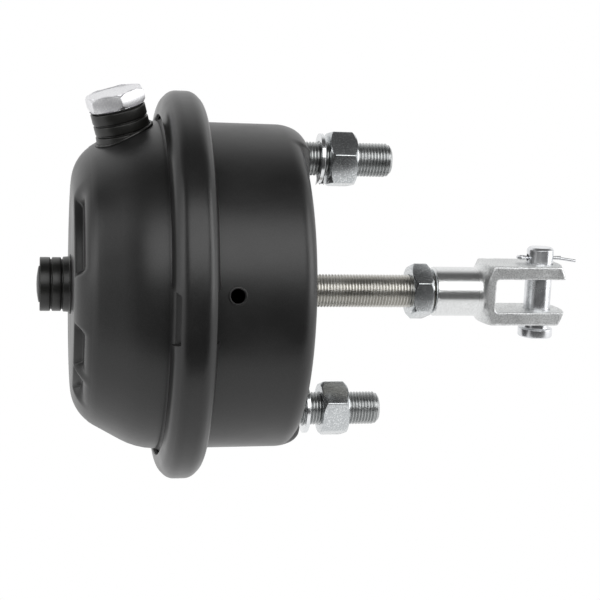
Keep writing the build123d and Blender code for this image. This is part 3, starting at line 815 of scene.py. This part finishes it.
springShell = makeSpringShell()
ventAngle = math.radians(shells["ventAngle"])
ventWay = Vector((0, -math.cos(ventAngle), math.sin(ventAngle)))
ventAt = Vector((-shells["ventBack"], 0, 0))
cutHole(springShell, shells["ventR"], ventAt + ventWay * 66, ventAt + ventWay * 82, 40, 34)
# a small rolled rim at the vent
ventRimLine = filletPath([
    (0, 3.05, 0), (0.35, 3.35, 0.2), (0.28, 4.0, 0.3), (-0.9, 4.35, 0), (-0.9, 3.05, 0)], 20)
ventPlace = axisFrame(ventAt + ventWay * (shells["springEndR"] + 0.095), ventWay, (1, 0, 0))
ventRim = lathe("ventRim", ventRimLine, ventPlace, 48)
dress(springShell, shellPaint, "housing", ("spring_shell",))
dress(ventRim, shellPaint, "housing", ())
print("spring side shell made")


# clamp ring
def lineAlong(path):
    # a path's points by distance along it
    path = np.asarray(path, float)
    far = np.concatenate(([0.0], np.cumsum(np.linalg.norm(np.diff(path, axis=0), axis=1))))
    return far, lambda at: np.stack([np.interp(at, far, path[:, 0]), np.interp(at, far, path[:, 1])], -1)


def makeClampRing():
    c = clamp
    step = 360 / c["notches"]
    notchEnds = [e[s] for e in (c["notchTop"], c["notchLow"]) for s in (-1, 1)]
    edges = [step * k - e for k in range(c["notches"]) for e in notchEnds]
    angles = angleList(edges, 1.2, 0.3, 4.5)
    degrees = (step / 2 - np.degrees(angles)) % step - step / 2
    kept, flare = {}, {}
    for side in (-1, 1):
        high, below = degrees - c["notchTop"][side], c["notchLow"][side] - degrees
        kept[side] = np.maximum(smoothStep(high / c["topSoft"][side] + 0.5),
                                smoothStep(below / c["lowSoft"][side] + 0.5))
        near = np.clip(1 - np.maximum(high, below) / c["lipFlareReach"], 0, 1)
        flare[side] = c["lipFlare"] * near ** 2 * kept[side]
    farOut, outer = lineAlong(filletPath(c["outer"], 6))
    join = math.acos((flangeR + c["legGap"]) / c["innerR"]) + lean
    turns = np.linspace(join, math.pi - join, 19)
    arc = [(-c["innerR"] * math.cos(q), c["innerR"] * math.sin(q)) for q in turns]
    lip = c["outer"][0][1]
    farIn, inner = lineAlong([(-c["innerLip"], lip)] + arc + [(c["innerLip"], lip)])
    # distances along both lines: where a notch cuts them, and their ends
    outline = outer(farOut)
    cut = {s: float(np.interp(x, outline[:, 0], farOut)) for s, x in zip((-1, 1), c["cutAt"])}
    cutIn = {-1: float(farIn[1]) + 0.2, 1: float(farIn[-2]) - 0.2}
    ends, endsIn = {-1: 0.0, 1: farOut[-1]}, {-1: 0.0, 1: farIn[-1]}

    def legRows(side):
        # down the outside of a leg, round its lip and up the inside
        k = c["notchLeft"] + (1 - c["notchLeft"]) * kept[side]
        e = c["edgeR"]

        def down(line, begin, finish, share):
            out = line(begin[side] + (finish[side] - begin[side]) * share * k)
            out[:, 0] += side * flare[side] * share ** 2
            return out

        rows = [down(outer, cut, ends, f) for f in np.linspace(0.0, 0.93, 9)]
        up = [down(inner, cutIn, endsIn, f) for f in (0.9, 0.6, 0.3, 0.0)]
        cornerOut, cornerIn = down(outer, cut, ends, 1.0), down(inner, cutIn, endsIn, 1.0)
        across = (cornerIn - cornerOut) / np.linalg.norm(cornerIn - cornerOut, axis=1)[:, None]
        rims = [0.35 * near + 0.45 * corner + 0.2 * (corner + way * across * e)
                for near, corner, way in ((rows[-1], cornerOut, 1), (up[0], cornerIn, -1))]
        return rows + [rims[0], cornerOut + across * e, cornerIn - across * e, rims[1]] + up

    one = np.ones_like(angles)
    crown = [outer(s * one) for s in np.linspace(cut[-1], cut[1], 46)[1:-1]]
    roof = [inner(s * one) for s in np.linspace(cutIn[1], cutIn[-1], 20)[1:-1]]
    rows = np.array(crown + legRows(1) + roof + legRows(-1)[::-1])
    return gridPiece("clampRing", ringX + rows[..., 0], crownAxisR + rows[..., 1], angles, alongX, 44)


dress(makeClampRing(), ringPaint, "housing", ("clamp_ring",))
print("clamp ring made")


# port bosses and plugs
ports = {
    "bossR": 12.4,
    "footFlare": (0.2, 0.8),  # the lowest band widens toward the shell
    "grooveDepth": 0.9,
    "grooveWidth": 1.0,
    "bands": (4.6, 3.9),      # outer and middle band
    "bandBevel": 0.45,
    "boreR": 7.4,
    "sunk": 0.2,              # a foot stops this far short of the shell's inner face
    "endOut": 14.0,
    "endLength": 17.0,
    "sideIn": 19.6,
    "sideRise": 6.2,
    "sideBack": 15.3,
    "sideClock": 7.0,
    "sideLength": 22.0,
    "beadR": 0.7,
    "beadRipple": 0.07,
    "beadRipples": 27,
    "plugFlats": 24.0,
    "plugHeight": 6.8,
    "plugBevel": 1.6,
    "plugTurn": 38.0,
    "sealR": 11.6,
    "sealH": 1.0,
}


def shellLine(depth, startR):
    # the pressure shell's face as a plain line, depth under the outside
    rim = (ringX, shells["shellR"] - depth, 0)
    return filletPath([(endX + depth, startR, 0)] + pressureWall(depth) + [rim], 3)


outerLine, innerLine = shellLine(0, 11.0), shellLine(shells["sheet"], 8.0)


def hitShell(start, way, line):
    # how far from start the shell's face lies along way
    near, far, stride = 0.0, 60.0, 0.15

    def within(t):
        p = start + way * t
        return p[0] > line[0][0] and math.hypot(p[1], p[2]) < np.interp(p[0], line[:, 0], line[:, 1])

    for k in range(400):
        if within(k * stride):
            near, far = max(0.0, (k - 1) * stride), k * stride
            break
    for k in range(22):
        middle = (near + far) / 2
        near, far = (near, middle) if within(middle) else (middle, far)
    return far


def bossPath(p, length):
    # outer face at 0, going down to the given length, as (depth, radius)
    r, g, w, b = p["bossR"], p["grooveDepth"], p["grooveWidth"], p["bandBevel"]
    path = [(1.0, p["boreR"], 0), (0.0, p["boreR"] + 1.0, 0.2), (0.0, r, b)]
    at = 0.0
    for band in p["bands"]:
        at += band
        path += [(at, r, b), (at + 0.25, r - g, 0.2), (at + w - 0.25, r - g, 0.2), (at + w, r, b)]
        at += w
    path[-1] = (at, r + p["footFlare"][0], b)
    path += [(length, r + p["footFlare"][1], 0)]
    return filletPath(path, 30)


def makeBoss(name, place, length):
    # rows at the foot follow the shell's inner face
    o, u, v, w = place
    p = ports
    path = bossPath(p, length)
    n = 96
    angles = np.linspace(0, 2 * math.pi, n, endpoint=False)

    def foot(r, line):
        return np.array([hitShell(o + r * (math.cos(t) * u + math.sin(t) * v), -w, line) for t in angles])

    along, radius = (np.repeat(path[:, k:k + 1], n, 1) for k in (0, 1))
    under = [p["sunk"] - foot(r, innerLine) for r in (p["bossR"] + 0.6, p["boreR"])]
    along = np.vstack([-along[:-1]] + under)
    radius = np.vstack([radius, np.full(n, p["boreR"])])
    body = gridPiece(name, along, radius, angles, place, 30)
    # the weld bead lies where the boss meets the shell
    footR = p["bossR"] + p["footFlare"][1] - 0.1
    wave = np.sin(angles * p["beadRipples"] + 1.5 * np.sin(angles * 5))
    rippled = p["beadR"] + p["beadRipple"] * wave
    q = np.linspace(0, 2 * math.pi, 10, endpoint=False)[:, None]
    along = 0.25 - foot(footR, outerLine) + rippled * np.sin(q)
    bead = gridPiece(name + "Weld", along, footR + rippled * np.cos(q), angles, place, 60)
    return joined(name, [body, bead], 30)


back, clock = math.radians(ports["sideBack"]), math.radians(ports["sideClock"])
sideReach = shells["shellR"] + ports["sideRise"]
sideOrigin = (endX + ports["sideIn"], -sideReach * math.sin(clock), sideReach * math.cos(clock))
sideOut = (-math.sin(back), -math.cos(back) * math.sin(clock), math.cos(back) * math.cos(clock))
sidePlace = axisFrame(sideOrigin, sideOut, (0, 1, 0))
endPlace = axisFrame((endX - ports["endOut"], 0, 0), (-1, 0, 0), (0, 1, 0))
endBoss = makeBoss("endPortBoss", endPlace, ports["endLength"])
sideBoss = makeBoss("sidePortBoss", sidePlace, ports["sideLength"])
dress(endBoss, bossPaint, "housing", ("end_port_boss",))
dress(sideBoss, bossPaint, "housing", ("side_port_boss",))

# a dust plug with a domed head
dustPlugLine = filletPath([
    (-8.5, 0, 0), (-8.5, 6.6, 0.5), (-7.9, 7.25, 0.2), (-0.1, 7.25, 0.1), (-0.05, 8.3, 0.2),
    (0.4, 8.4, 0.25), (0.75, 7.2, 3.0), (1.3, 3.4, 9.0), (1.42, 0, 0)], 8)
dustPlug = lathe("endPortDustPlug", dustPlugLine, endPlace, 64, 40)
dress(dustPlug, darkPlastic, "housing", ("end_port_dust_plug",))


def makeSidePlug():
    # hexagon and shank; the outer face gets a darker grey zinc than the sides, which is painted shade
    o, u, v, w = sidePlace
    place = (o + w * ports["sealH"], u, v, w)
    size = (ports[k] for k in ("plugFlats", "plugHeight", "plugBevel"))
    head = hexPiece("sidePortPlug", *size, place, ports["plugTurn"])
    line = filletPath([(0.5, 0, 0), (0.5, 7.25, 0), (-8.3, 7.25, 0.8), (-9.0, 6.3, 0), (-9.0, 0, 0)], 20)
    shank = lathe("plugShank", line, place, 48)
    for part in (head, shank):
        part.data.materials.append(plugZinc)
    head.data.materials.append(plugTopPaintedShade)
    # faces turned outward take the darker zinc, painted shade
    for face in head.data.polygons:
        if Vector(sideOut).dot(face.normal) > 0.995:
            face.material_index = 1
    return joined("sidePortPlug", [head, shank], 24)


dress(makeSidePlug(), plugZinc, "housing", ("side_port_plug",))
sealR, sealH = ports["sealR"], ports["sealH"]
sealLine = filletPath([
    (0.0, 7.5, 0), (0.0, sealR - 0.2, 0.2), (sealH / 2, sealR, 0.4), (sealH, sealR - 0.2, 0.2),
    (sealH, 7.5, 0)], 25)
seal = lathe("sidePortSealRing", sealLine, sidePlace, 72, 50)
dress(seal, rubber, "housing", ("side_port_seal_ring",))
print("ports made")


# studs, nuts and spring washers
studs = {
    "z": 60.325,
    "coreR": 7.02,
    "crestR": 7.88,
    "pitch": 1.5,
    "threadStart": -2.0,
    "endX": 43.2,
    "chamfer": 1.3,
    "backX": -9.7,
    "headR": 10.0,
    "headH": 5.0,
    "nutFlats": 24.0,
    "nutH": 13.0,
    "nutBevel": 2.2,
    "nutBoreR": 7.5,
    "nutX": {"upper": 12.6, "lower": 14.2},
    "nutTurn": {"upper": 12.0, "lower": 24.0},
    "washerX": {"upper": 7.7, "lower": 5.4},
    "washerClock": {"upper": -15.0, "lower": 172.0},
    "washerR": 11.8,
    "washerHoleR": 8.3,
    "washerT": 1.9,
    "washerRise": {"upper": 2.2, "lower": 1.0},
    "washerTurns": 0.972,
    "washerEdge": 0.5,
}


def threadedBar(name, material, size, plain, z=0.0):
    # plain is the core's path from the back up to where the thread starts, as (x, r)
    core, crest, pitch, chamfer = (size[k] for k in ("coreR", "crestR", "pitch", "chamfer"))
    startX, endXX = size["threadStart"], size["endX"]
    tip = [(endXX - chamfer * 0.9, core, 0.2), (endXX, core - chamfer * 0.75, 0.15), (endXX, 0, 0)]
    bar = lathe(name + "Core", filletPath(plain + tip, 20), shiftedX(0, z), 64, 30)
    bar.data.materials.append(material)
    length = endXX - 0.35 * chamfer - startX
    ridge = coilPiece(
        name + "Thread", material, 60, turns=length / pitch, length=length * mm,
        startRadius=crest * mm, endRadius=crest * mm, foot=pitch * 1.02 * mm, crest=pitch * 0.24 * mm,
        height=(crest - core + 0.06) * mm, steps=40, fade=1.3, start=(startX * mm, 0.0, z * mm))
    return joined(name, [bar, ridge], 38)


def makeStud(which, z):
    s = studs
    headX = s["backX"] - s["headH"]
    head = [(headX, 0, 0), (headX, s["headR"] - 1, 0), (headX + 1, s["headR"], 0.4),
            (s["backX"], s["headR"], 0.3), (s["backX"], s["coreR"], 0.3)]
    return threadedBar(which + "Stud", studZinc, s, head, z)


def makeNut(name, size, x, z, turn):
    flats, height, bevel, bore = (size[k] for k in ("nutFlats", "nutH", "nutBevel", "nutBoreR"))
    return hexPiece(name, flats, height, bevel, shiftedX(x, z), 90 - turn, bore)


def makeWasher(which, z):
    # one turn of a flat wire with a gap
    s = studs
    thick, around = s["washerT"] * mm, s["washerR"] * mm
    washer = coilPiece(
        which + "SpringWasher", washerZinc, 30, turns=s["washerTurns"],
        length=s["washerRise"][which] * mm, startRadius=around, endRadius=around, foot=thick, crest=thick,
        height=(s["washerR"] - s["washerHoleR"]) * mm, steps=90, fade=0.0001,
        start=((s["washerX"][which] + 1.0) * mm, 0.0, z * mm), clock=math.radians(s["washerClock"][which]))
    mod = washer.modifiers.new("edges", "BEVEL")
    mod.width = s["washerEdge"] * mm
    mod.segments = 3
    mod.limit_method = "ANGLE"
    mod.angle_limit = math.radians(50)
    return washer


for which, z in (("upper", studs["z"]), ("lower", -studs["z"])):
    dress(makeStud(which, z), studZinc, "housing", (which + "_stud",))
    nut = makeNut(which + "StudNut", studs, studs["nutX"][which], z, studs["nutTurn"][which])
    dress(nut, nutZinc, "housing", (which + "_stud_nut",))
    dress(makeWasher(which, z), washerZinc, "housing", (which + "_spring_washer",))
print("studs made")


# inside: plate, guide, diaphragm, return spring
inside = {
    "rodZ": -2.4,
    "guideX": -12.2,
    "guideFlangeR": 44.0,
    "guideFlangeT": 2.5,
    "guideNeckR": 19.4,
    "guideBushR": 12.0,
    "guideBushLen": 5.0,
    "guideBoreR": 8.15,
    "plateX": -93.4,
    "plateR": 44.1,
    "plateT": 3.5,
    "plateLip": 3.0,
    "plateRim": 3.4,
    "hubR": 13.0,
    "hubH": 6.0,
    "hubHoleR": 7.3,
    "wireR": 1.8,
    "fixedR": 38.0,
    "movingR": 30.0,
    "springTurns": 5.0,
    "springGap": 0.15,
    "membraneDepth": 8.3,
    "membraneT": 3.4,
    "rimGap": 0.2,
    "rimLen": 8.0,
}
rodPlace = shiftedX(0, inside["rodZ"])
backX = inside["plateX"] + inside["plateT"]


def makeGuide():
    v = inside
    low, face, front = v["guideX"] - v["guideBushLen"], v["guideX"], -shells["faceDrop"]
    flange, neck, bore = v["guideX"] + v["guideFlangeT"], v["guideNeckR"], v["guideBoreR"]
    line = [(low, bore + 0.4, 0.3), (low, v["guideBushR"], 0.6), (face, v["guideBushR"], 1.2),
            (face, v["guideFlangeR"], 0.7), (flange, v["guideFlangeR"], 0.7), (flange, neck, 0.3),
            (front, neck, 1.2), (front, 15.2, 0.6), (front - 1.1, 14.6, 0.6), (front - 1.1, 10.9, 0.6),
            (front, 10.4, 0.5), (front, bore + 0.7, 0.4), (-4.9, bore, 0.4), (low + 0.6, bore, 0)]
    return lathe("rodGuide", filletPath(line, 25), rodPlace, 96, 40)


def makePlate():
    v = inside
    lip, hub, rim = backX + v["plateLip"], backX + v["hubH"], v["plateR"] - v["plateRim"]
    line = [(v["plateX"], 0, 0), (v["plateX"], v["plateR"], 2.0), (lip, v["plateR"], 0.8), (lip, rim, 0.8),
            (backX, rim, 2.0), (backX, v["hubR"], 2.0), (hub, v["hubR"], 0.8), (hub, v["hubHoleR"], 0),
            (backX, v["hubHoleR"], 0), (backX, 0, 0)]
    return lathe("pushPlate", filletPath(line, 15), rodPlace, 96, 40)


def makeDiaphragm():
    # follows the pressure shell's wall, with its rim between the two flanges
    v = inside
    faces = [[(endX + depth, 0, 0)] + pressureWall(depth)
             for depth in (v["membraneDepth"], v["membraneDepth"] + v["membraneT"])]
    rimR = flangeR - shells["sheet"] - v["rimGap"]
    rim = [(*legPoint(side, rimR, down), bend) for side, down, bend in (
        (-1, v["rimLen"], 0.3), (-1, v["rimGap"], 0.5), (1, v["rimGap"], 0.5), (1, v["rimLen"], 1.5))]
    line = filletPath(faces[0] + rim + faces[1][::-1], 10)
    return lathe("rollingDiaphragm", divided(line, 2.5), alongX, 120, 50)


def makeReturnSpring():
    v = inside
    wireFrom = backX + v["wireR"] + v["springGap"]
    wireTo = v["guideX"] - v["wireR"] - v["springGap"]
    return coilPiece(
        "returnSpring", springPaint, 60, turns=v["springTurns"], length=(wireTo - wireFrom) * mm,
        startRadius=v["movingR"] * mm, endRadius=v["fixedR"] * mm, foot=2 * v["wireR"] * mm, height=0.0,
        round=True, steps=64, fade=0.001, start=(wireFrom * mm, 0.0, v["rodZ"] * mm))


dress(makeGuide(), darkPlastic, "housing", ("rod_guide",))
dress(makePlate(), innerSteel, "rod", ("push_plate",))
diaphragm = makeDiaphragm()
dress(diaphragm, rubber, None, ("diaphragm",))
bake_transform(diaphragm)
spring = makeReturnSpring()
dress(spring, springPaint, None, ("return_spring",))
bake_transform(spring)
print("inside made")


# rod and lock nut
rod = {
    "coreR": 6.98,
    "crestR": 7.88,
    "plainR": 7.2,
    "pitch": 1.5,
    "threadStart": -20.0,
    "endX": 88.6,
    "chamfer": 1.3,
    "nutX": 55.8,
    "nutH": 10.0,
    "nutFlats": 24.0,
    "nutBevel": 2.2,
    "nutBoreR": 7.5,
    "nutTurn": 25.0,
}
rodBack = [(backX, 0, 0), (backX, rod["plainR"], 0),
           (rod["threadStart"] - 3, rod["plainR"], 0), (rod["threadStart"] - 2, rod["coreR"], 0)]
pushRod = threadedBar("pushRod", rodZinc, rod, rodBack, inside["rodZ"])
dress(pushRod, rodZinc, "rod", ("push_rod",))
lockNut = makeNut("lockNut", rod, rod["nutX"], inside["rodZ"], rod["nutTurn"])
dress(lockNut, nutZinc, "rod", ("lock_nut",))
print("rod made")


# clevis
clevisLook = {
    "voxel": 0.42,
    "smoothings": 6,
    "dent": 0.22,             # depth of the forged surface
    "dentSize": 3.2,
    "forgedFrom": 89.0,       # forged skin starts here along X
    "forgedOver": 4.0,
    "colourFrom": 88.5,
    "colourTo": 94.0,
}


def mergedCopy(name, node):
    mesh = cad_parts[node].data.copy()
    mesh.name = name
    mesh.materials.clear()
    bm = bmesh.new()
    bm.from_mesh(mesh)
    bmesh.ops.remove_doubles(bm, verts=bm.verts, dist=5e-6)
    bmesh.ops.recalc_face_normals(bm, faces=bm.faces)
    bm.to_mesh(mesh)
    bm.free()
    return newObject(name, mesh)


def makeClevis():
    # the solid's own shape with soft edges, and shallow dents where it is forged
    c = clevisLook
    obj = mergedCopy("clevisFork", "clevis")
    low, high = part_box("clevis")
    remesh = obj.modifiers.new("voxels", "REMESH")
    remesh.mode = "VOXEL"
    remesh.voxel_size = c["voxel"] * mm
    soft = obj.modifiers.new("soft", "SMOOTH")
    soft.factor = 0.5
    soft.iterations = c["smoothings"]
    applyModifiers(obj)
    mesh = obj.data
    n = len(mesh.vertices)
    co, no = np.empty(n * 3), np.empty(n * 3)
    mesh.vertices.foreach_get("co", co)
    mesh.vertices.foreach_get("normal", no)
    co, no = co.reshape(-1, 3), no.reshape(-1, 3)
    amount = smoothStep((co[:, 0] / mm - c["forgedFrom"]) / c["forgedOver"])
    dents = np.array([noise.fractal(Vector(p) / (c["dentSize"] * mm), 0.8, 2.0, 3) for p in co])
    co -= no * (amount * (0.12 + 0.5 * np.clip(dents, -0.6, 1.0)) * c["dent"] * mm)[:, None]
    for k in range(3):
        co[:, k] = np.clip(co[:, k], low[k], high[k])
    mesh.vertices.foreach_set("co", co.reshape(-1))
    mesh.update()
    mesh.shade_smooth()
    return obj


def forgedMaterial(name):
    # bright plated barrel, rougher mottled fork from where the forging starts
    mat, nt, bsdf = newMaterial(name)
    bsdf.inputs["Metallic"].default_value = 1.0
    coord = nt.nodes.new("ShaderNodeTexCoord")
    split = nt.nodes.new("ShaderNodeSeparateXYZ")
    nt.links.new(coord.outputs["Object"], split.inputs[0])
    where = nt.nodes.new("ShaderNodeMapRange")
    for key, value in (("Value", split.outputs["X"]), ("From Min", clevisLook["colourFrom"] * mm),
                       ("From Max", clevisLook["colourTo"] * mm)):
        feed(nt, value, where.inputs[key])
    forged = where.outputs[0]
    patch = addValue(nt, specks, 1500.0)
    cloud = addValue(nt, softCloud, 110.0)
    bright = ramp(nt, patch, ((0.3, (0.70, 0.71, 0.71)), (0.7, (0.80, 0.81, 0.81))))
    rough = ramp(nt, patch, ((0.34, (0.55, 0.56, 0.56)), (0.62, (0.80, 0.81, 0.81))))
    gloss = mixColour(nt, forged, (0.27, 0.27, 0.27), ramp(nt, cloud, ((0.3, 0.40), (0.7, 0.52))))
    nt.links.new(mixColour(nt, forged, bright, rough), bsdf.inputs["Base Color"])
    nt.links.new(gloss, bsdf.inputs["Roughness"])
    skin = addMaths(nt, "MULTIPLY", addValue(nt, fineGrain, 1100.0), forged)
    under = addBump(nt, bsdf, skin, 0.00010, 0.8)
    addBump(nt, bsdf, patch, 0.000008, 0.5, under)
    return mat


dress(makeClevis(), forgedMaterial("clevisZinc"), "rod", ("clevis",))
print("clevis made")


# clevis pin and split pin
pins = {
    "x": 121.8,
    "earZ": 12.1,
    "pinR": 6.5,
    "top": 7.7,
    "topBevel": 1.1,
    "lowZ": -20.2,
    "headR": 8.4,
    "headH": 4.3,
    "holeR": 1.7,
    "holeZ": 2.6,
    "holeReach": 12.0,
    "wireR": 0.75,
    "gap": 0.8,
    "neck": 7.0,
    "eyeR": 2.4,
    "legs": (11.0, 17.5),
    "spread": 1.6,
    "drop": 1.2,
}
holeZ = pins["earZ"] + pins["holeZ"]


def makeClevisPin():
    p = pins
    topZ, headZ = p["earZ"] + p["top"], p["lowZ"] - p["headH"]
    line = [(headZ, 0, 0), (headZ, p["headR"], 0.7), (p["lowZ"], p["headR"], 0.4),
            (p["lowZ"], p["pinR"], 0.5), (topZ - p["topBevel"], p["pinR"], 0.3),
            (topZ, p["pinR"] - p["topBevel"], 0.35), (topZ, 0, 0)]
    place = axisFrame((p["x"], 0, 0), (0, 0, 1), (1, 0, 0))
    pin = lathe("clevisPin", filletPath(line, 15), place, 96, 30)
    ends = [(p["x"] + way * p["holeReach"], 0, holeZ) for way in (-1, 1)]
    cutHole(pin, p["holeR"], *ends, 28, 30)
    return pin


def makeSplitPin():
    # one wire: long leg, eye, short leg; the legs lie one gap either side of the middle
    p = pins
    neckX = p["x"] - p["neck"]
    eyeX = neckX - 0.8 * p["eyeR"]
    legXs = (p["x"] + 7.0, p["x"] - 4.0, neckX + 0.6)
    pts = [(x, p["gap"], 0) for x in (p["x"] + p["legs"][0], *legXs)]
    for a in np.radians(np.linspace(40, 320, 11)):
        pts.append((eyeX + p["eyeR"] * math.cos(a), (p["eyeR"] + 0.15) * math.sin(a), 0))
    pts += [(x, -p["gap"], 0) for x in legXs[::-1]]
    pts.append((p["x"] + 9.0, -p["gap"] - 0.1, -0.1))
    pts.append((p["x"] + p["legs"][1], -p["gap"] - p["spread"], -p["drop"]))
    curve = bpy.data.curves.new("splitWire", "CURVE")
    curve.dimensions = "3D"
    spline = curve.splines.new("NURBS")
    spline.points.add(len(pts) - 1)
    for point, (x, y, z) in zip(spline.points, pts):
        point.co = (x * mm, y * mm, (z + holeZ) * mm, 1)
    spline.order_u = 3
    spline.use_endpoint_u = True
    spline.resolution_u = 6
    curve.bevel_depth = p["wireR"] * mm
    curve.bevel_resolution = 5
    curve.use_fill_caps = True
    wire = newObject("splitWire", curve)
    made = evaluatedMesh(wire)
    bpy.data.objects.remove(wire)
    made.name = "splitPin"
    pin = newObject("splitPin", made)
    finishMesh(pin, 40)
    return pin


dress(makeClevisPin(), pinSteel, "pin", ("clevis_pin",))
dress(makeSplitPin(), pinSteel, "pin", ("split_pin",))
print("pins made")

# the stud plate keeps its own mesh
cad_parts["stud_plate"].data.materials.clear()
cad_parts["stud_plate"].data.materials.append(innerSteel)


# floor, light and surroundings, in metres and watts
studio = {
    "floorDrop": 0.002,
    "floorFront": -0.165,     # along Y, the floor ends close in front of the object
    "floorSize": 3.0,
    "diffuseSky": 0.35,
    "frontDark": 0.08,        # what metal and paint mirror of the room's front
    "backTurn": (0.15, 0.60), # the mirrored room brightens between these, toward the back
    "sideTurn": (0.70, 0.95),
}
# place, width, height, power
lamps = {
    "softBox": (0.05, -0.88, 0.62, 1.45, 0.76, 8.2),
    "leftBox": (-1.05, -0.22, 0.42, 0.36, 0.8, 1.7),
    "rightBox": (1.0, -0.28, 0.34, 0.6, 0.85, 4.0),
}


def softLight(name, x, y, z, width, height, power):
    data = bpy.data.lights.new(name, "AREA")
    data.shape = "RECTANGLE"
    data.size = width
    data.size_y = height
    data.energy = power
    obj = newObject(name, data)
    obj.location = (x, y, z)
    obj.rotation_euler = (-obj.location).to_track_quat("-Z", "Y").to_euler()


for name, values in lamps.items():
    softLight(name, *values)


def makeFloor():
    # white to the camera and in mirrors; it keeps the object's shadow for other light
    size, near = studio["floorSize"], studio["floorFront"]
    z = cadBox[0][2] - studio["floorDrop"]
    mesh = bpy.data.meshes.new("floor")
    corners = [(-size, near, z), (size, near, z), (size, size, z), (-size, size, z)]
    mesh.from_pydata(corners, [], [(0, 1, 2, 3)])
    mat, nt, bsdf = newMaterial("floorWhite")
    bsdf.inputs["Base Color"].default_value = (0.9, 0.9, 0.9, 1)
    bsdf.inputs["Roughness"].default_value = 0.9
    white = nt.nodes.new("ShaderNodeEmission")
    path = nt.nodes.new("ShaderNodeLightPath").outputs
    mix = nt.nodes.new("ShaderNodeMixShader")
    seen = addMaths(nt, "MAXIMUM", path["Is Camera Ray"], path["Is Glossy Ray"])
    for socket, source in zip(mix.inputs, (seen, bsdf.outputs[0], white.outputs[0])):
        nt.links.new(source, socket)
    nt.links.new(mix.outputs[0], nt.nodes["Material Output"].inputs[0])
    mesh.materials.append(mat)
    newObject("floor", mesh)


def makeSky():
    # white to the camera; metal and paint mirror a dark front and a white back and sides
    world = bpy.data.worlds.new("sky")
    scene.world = world
    world.use_nodes = True
    nt = world.node_tree
    n, link = nt.nodes, nt.links.new
    back = n["Background"]
    back.inputs[0].default_value = (1, 1, 1, 1)
    way, path = n.new("ShaderNodeSeparateXYZ"), n.new("ShaderNodeLightPath")
    link(n.new("ShaderNodeTexCoord").outputs["Generated"], way.inputs[0])

    def rising(source, ends):
        r = n.new("ShaderNodeMapRange")
        r.interpolation_type = "SMOOTHSTEP"
        for key, value in (("Value", source), ("From Min", ends[0]), ("From Max", ends[1])):
            feed(nt, value, r.inputs[key])
        return r.outputs[0]

    def mixed(factor, a, b):
        m = n.new("ShaderNodeMix")
        for k, value in ((0, factor), (2, a), (3, b)):
            feed(nt, value, m.inputs[k])
        return m.outputs[0]

    behind = rising(way.outputs["Y"], studio["backTurn"])
    beside = rising(addMaths(nt, "ABSOLUTE", way.outputs["X"]), studio["sideTurn"])
    mirrored = mixed(addMaths(nt, "MAXIMUM", behind, beside), studio["frontDark"], 1.0)
    strength = mixed(path.outputs["Is Glossy Ray"], studio["diffuseSky"], mirrored)
    link(mixed(path.outputs["Is Camera Ray"], strength, 1.0), back.inputs[1])


makeFloor()
makeSky()
print("studio made")
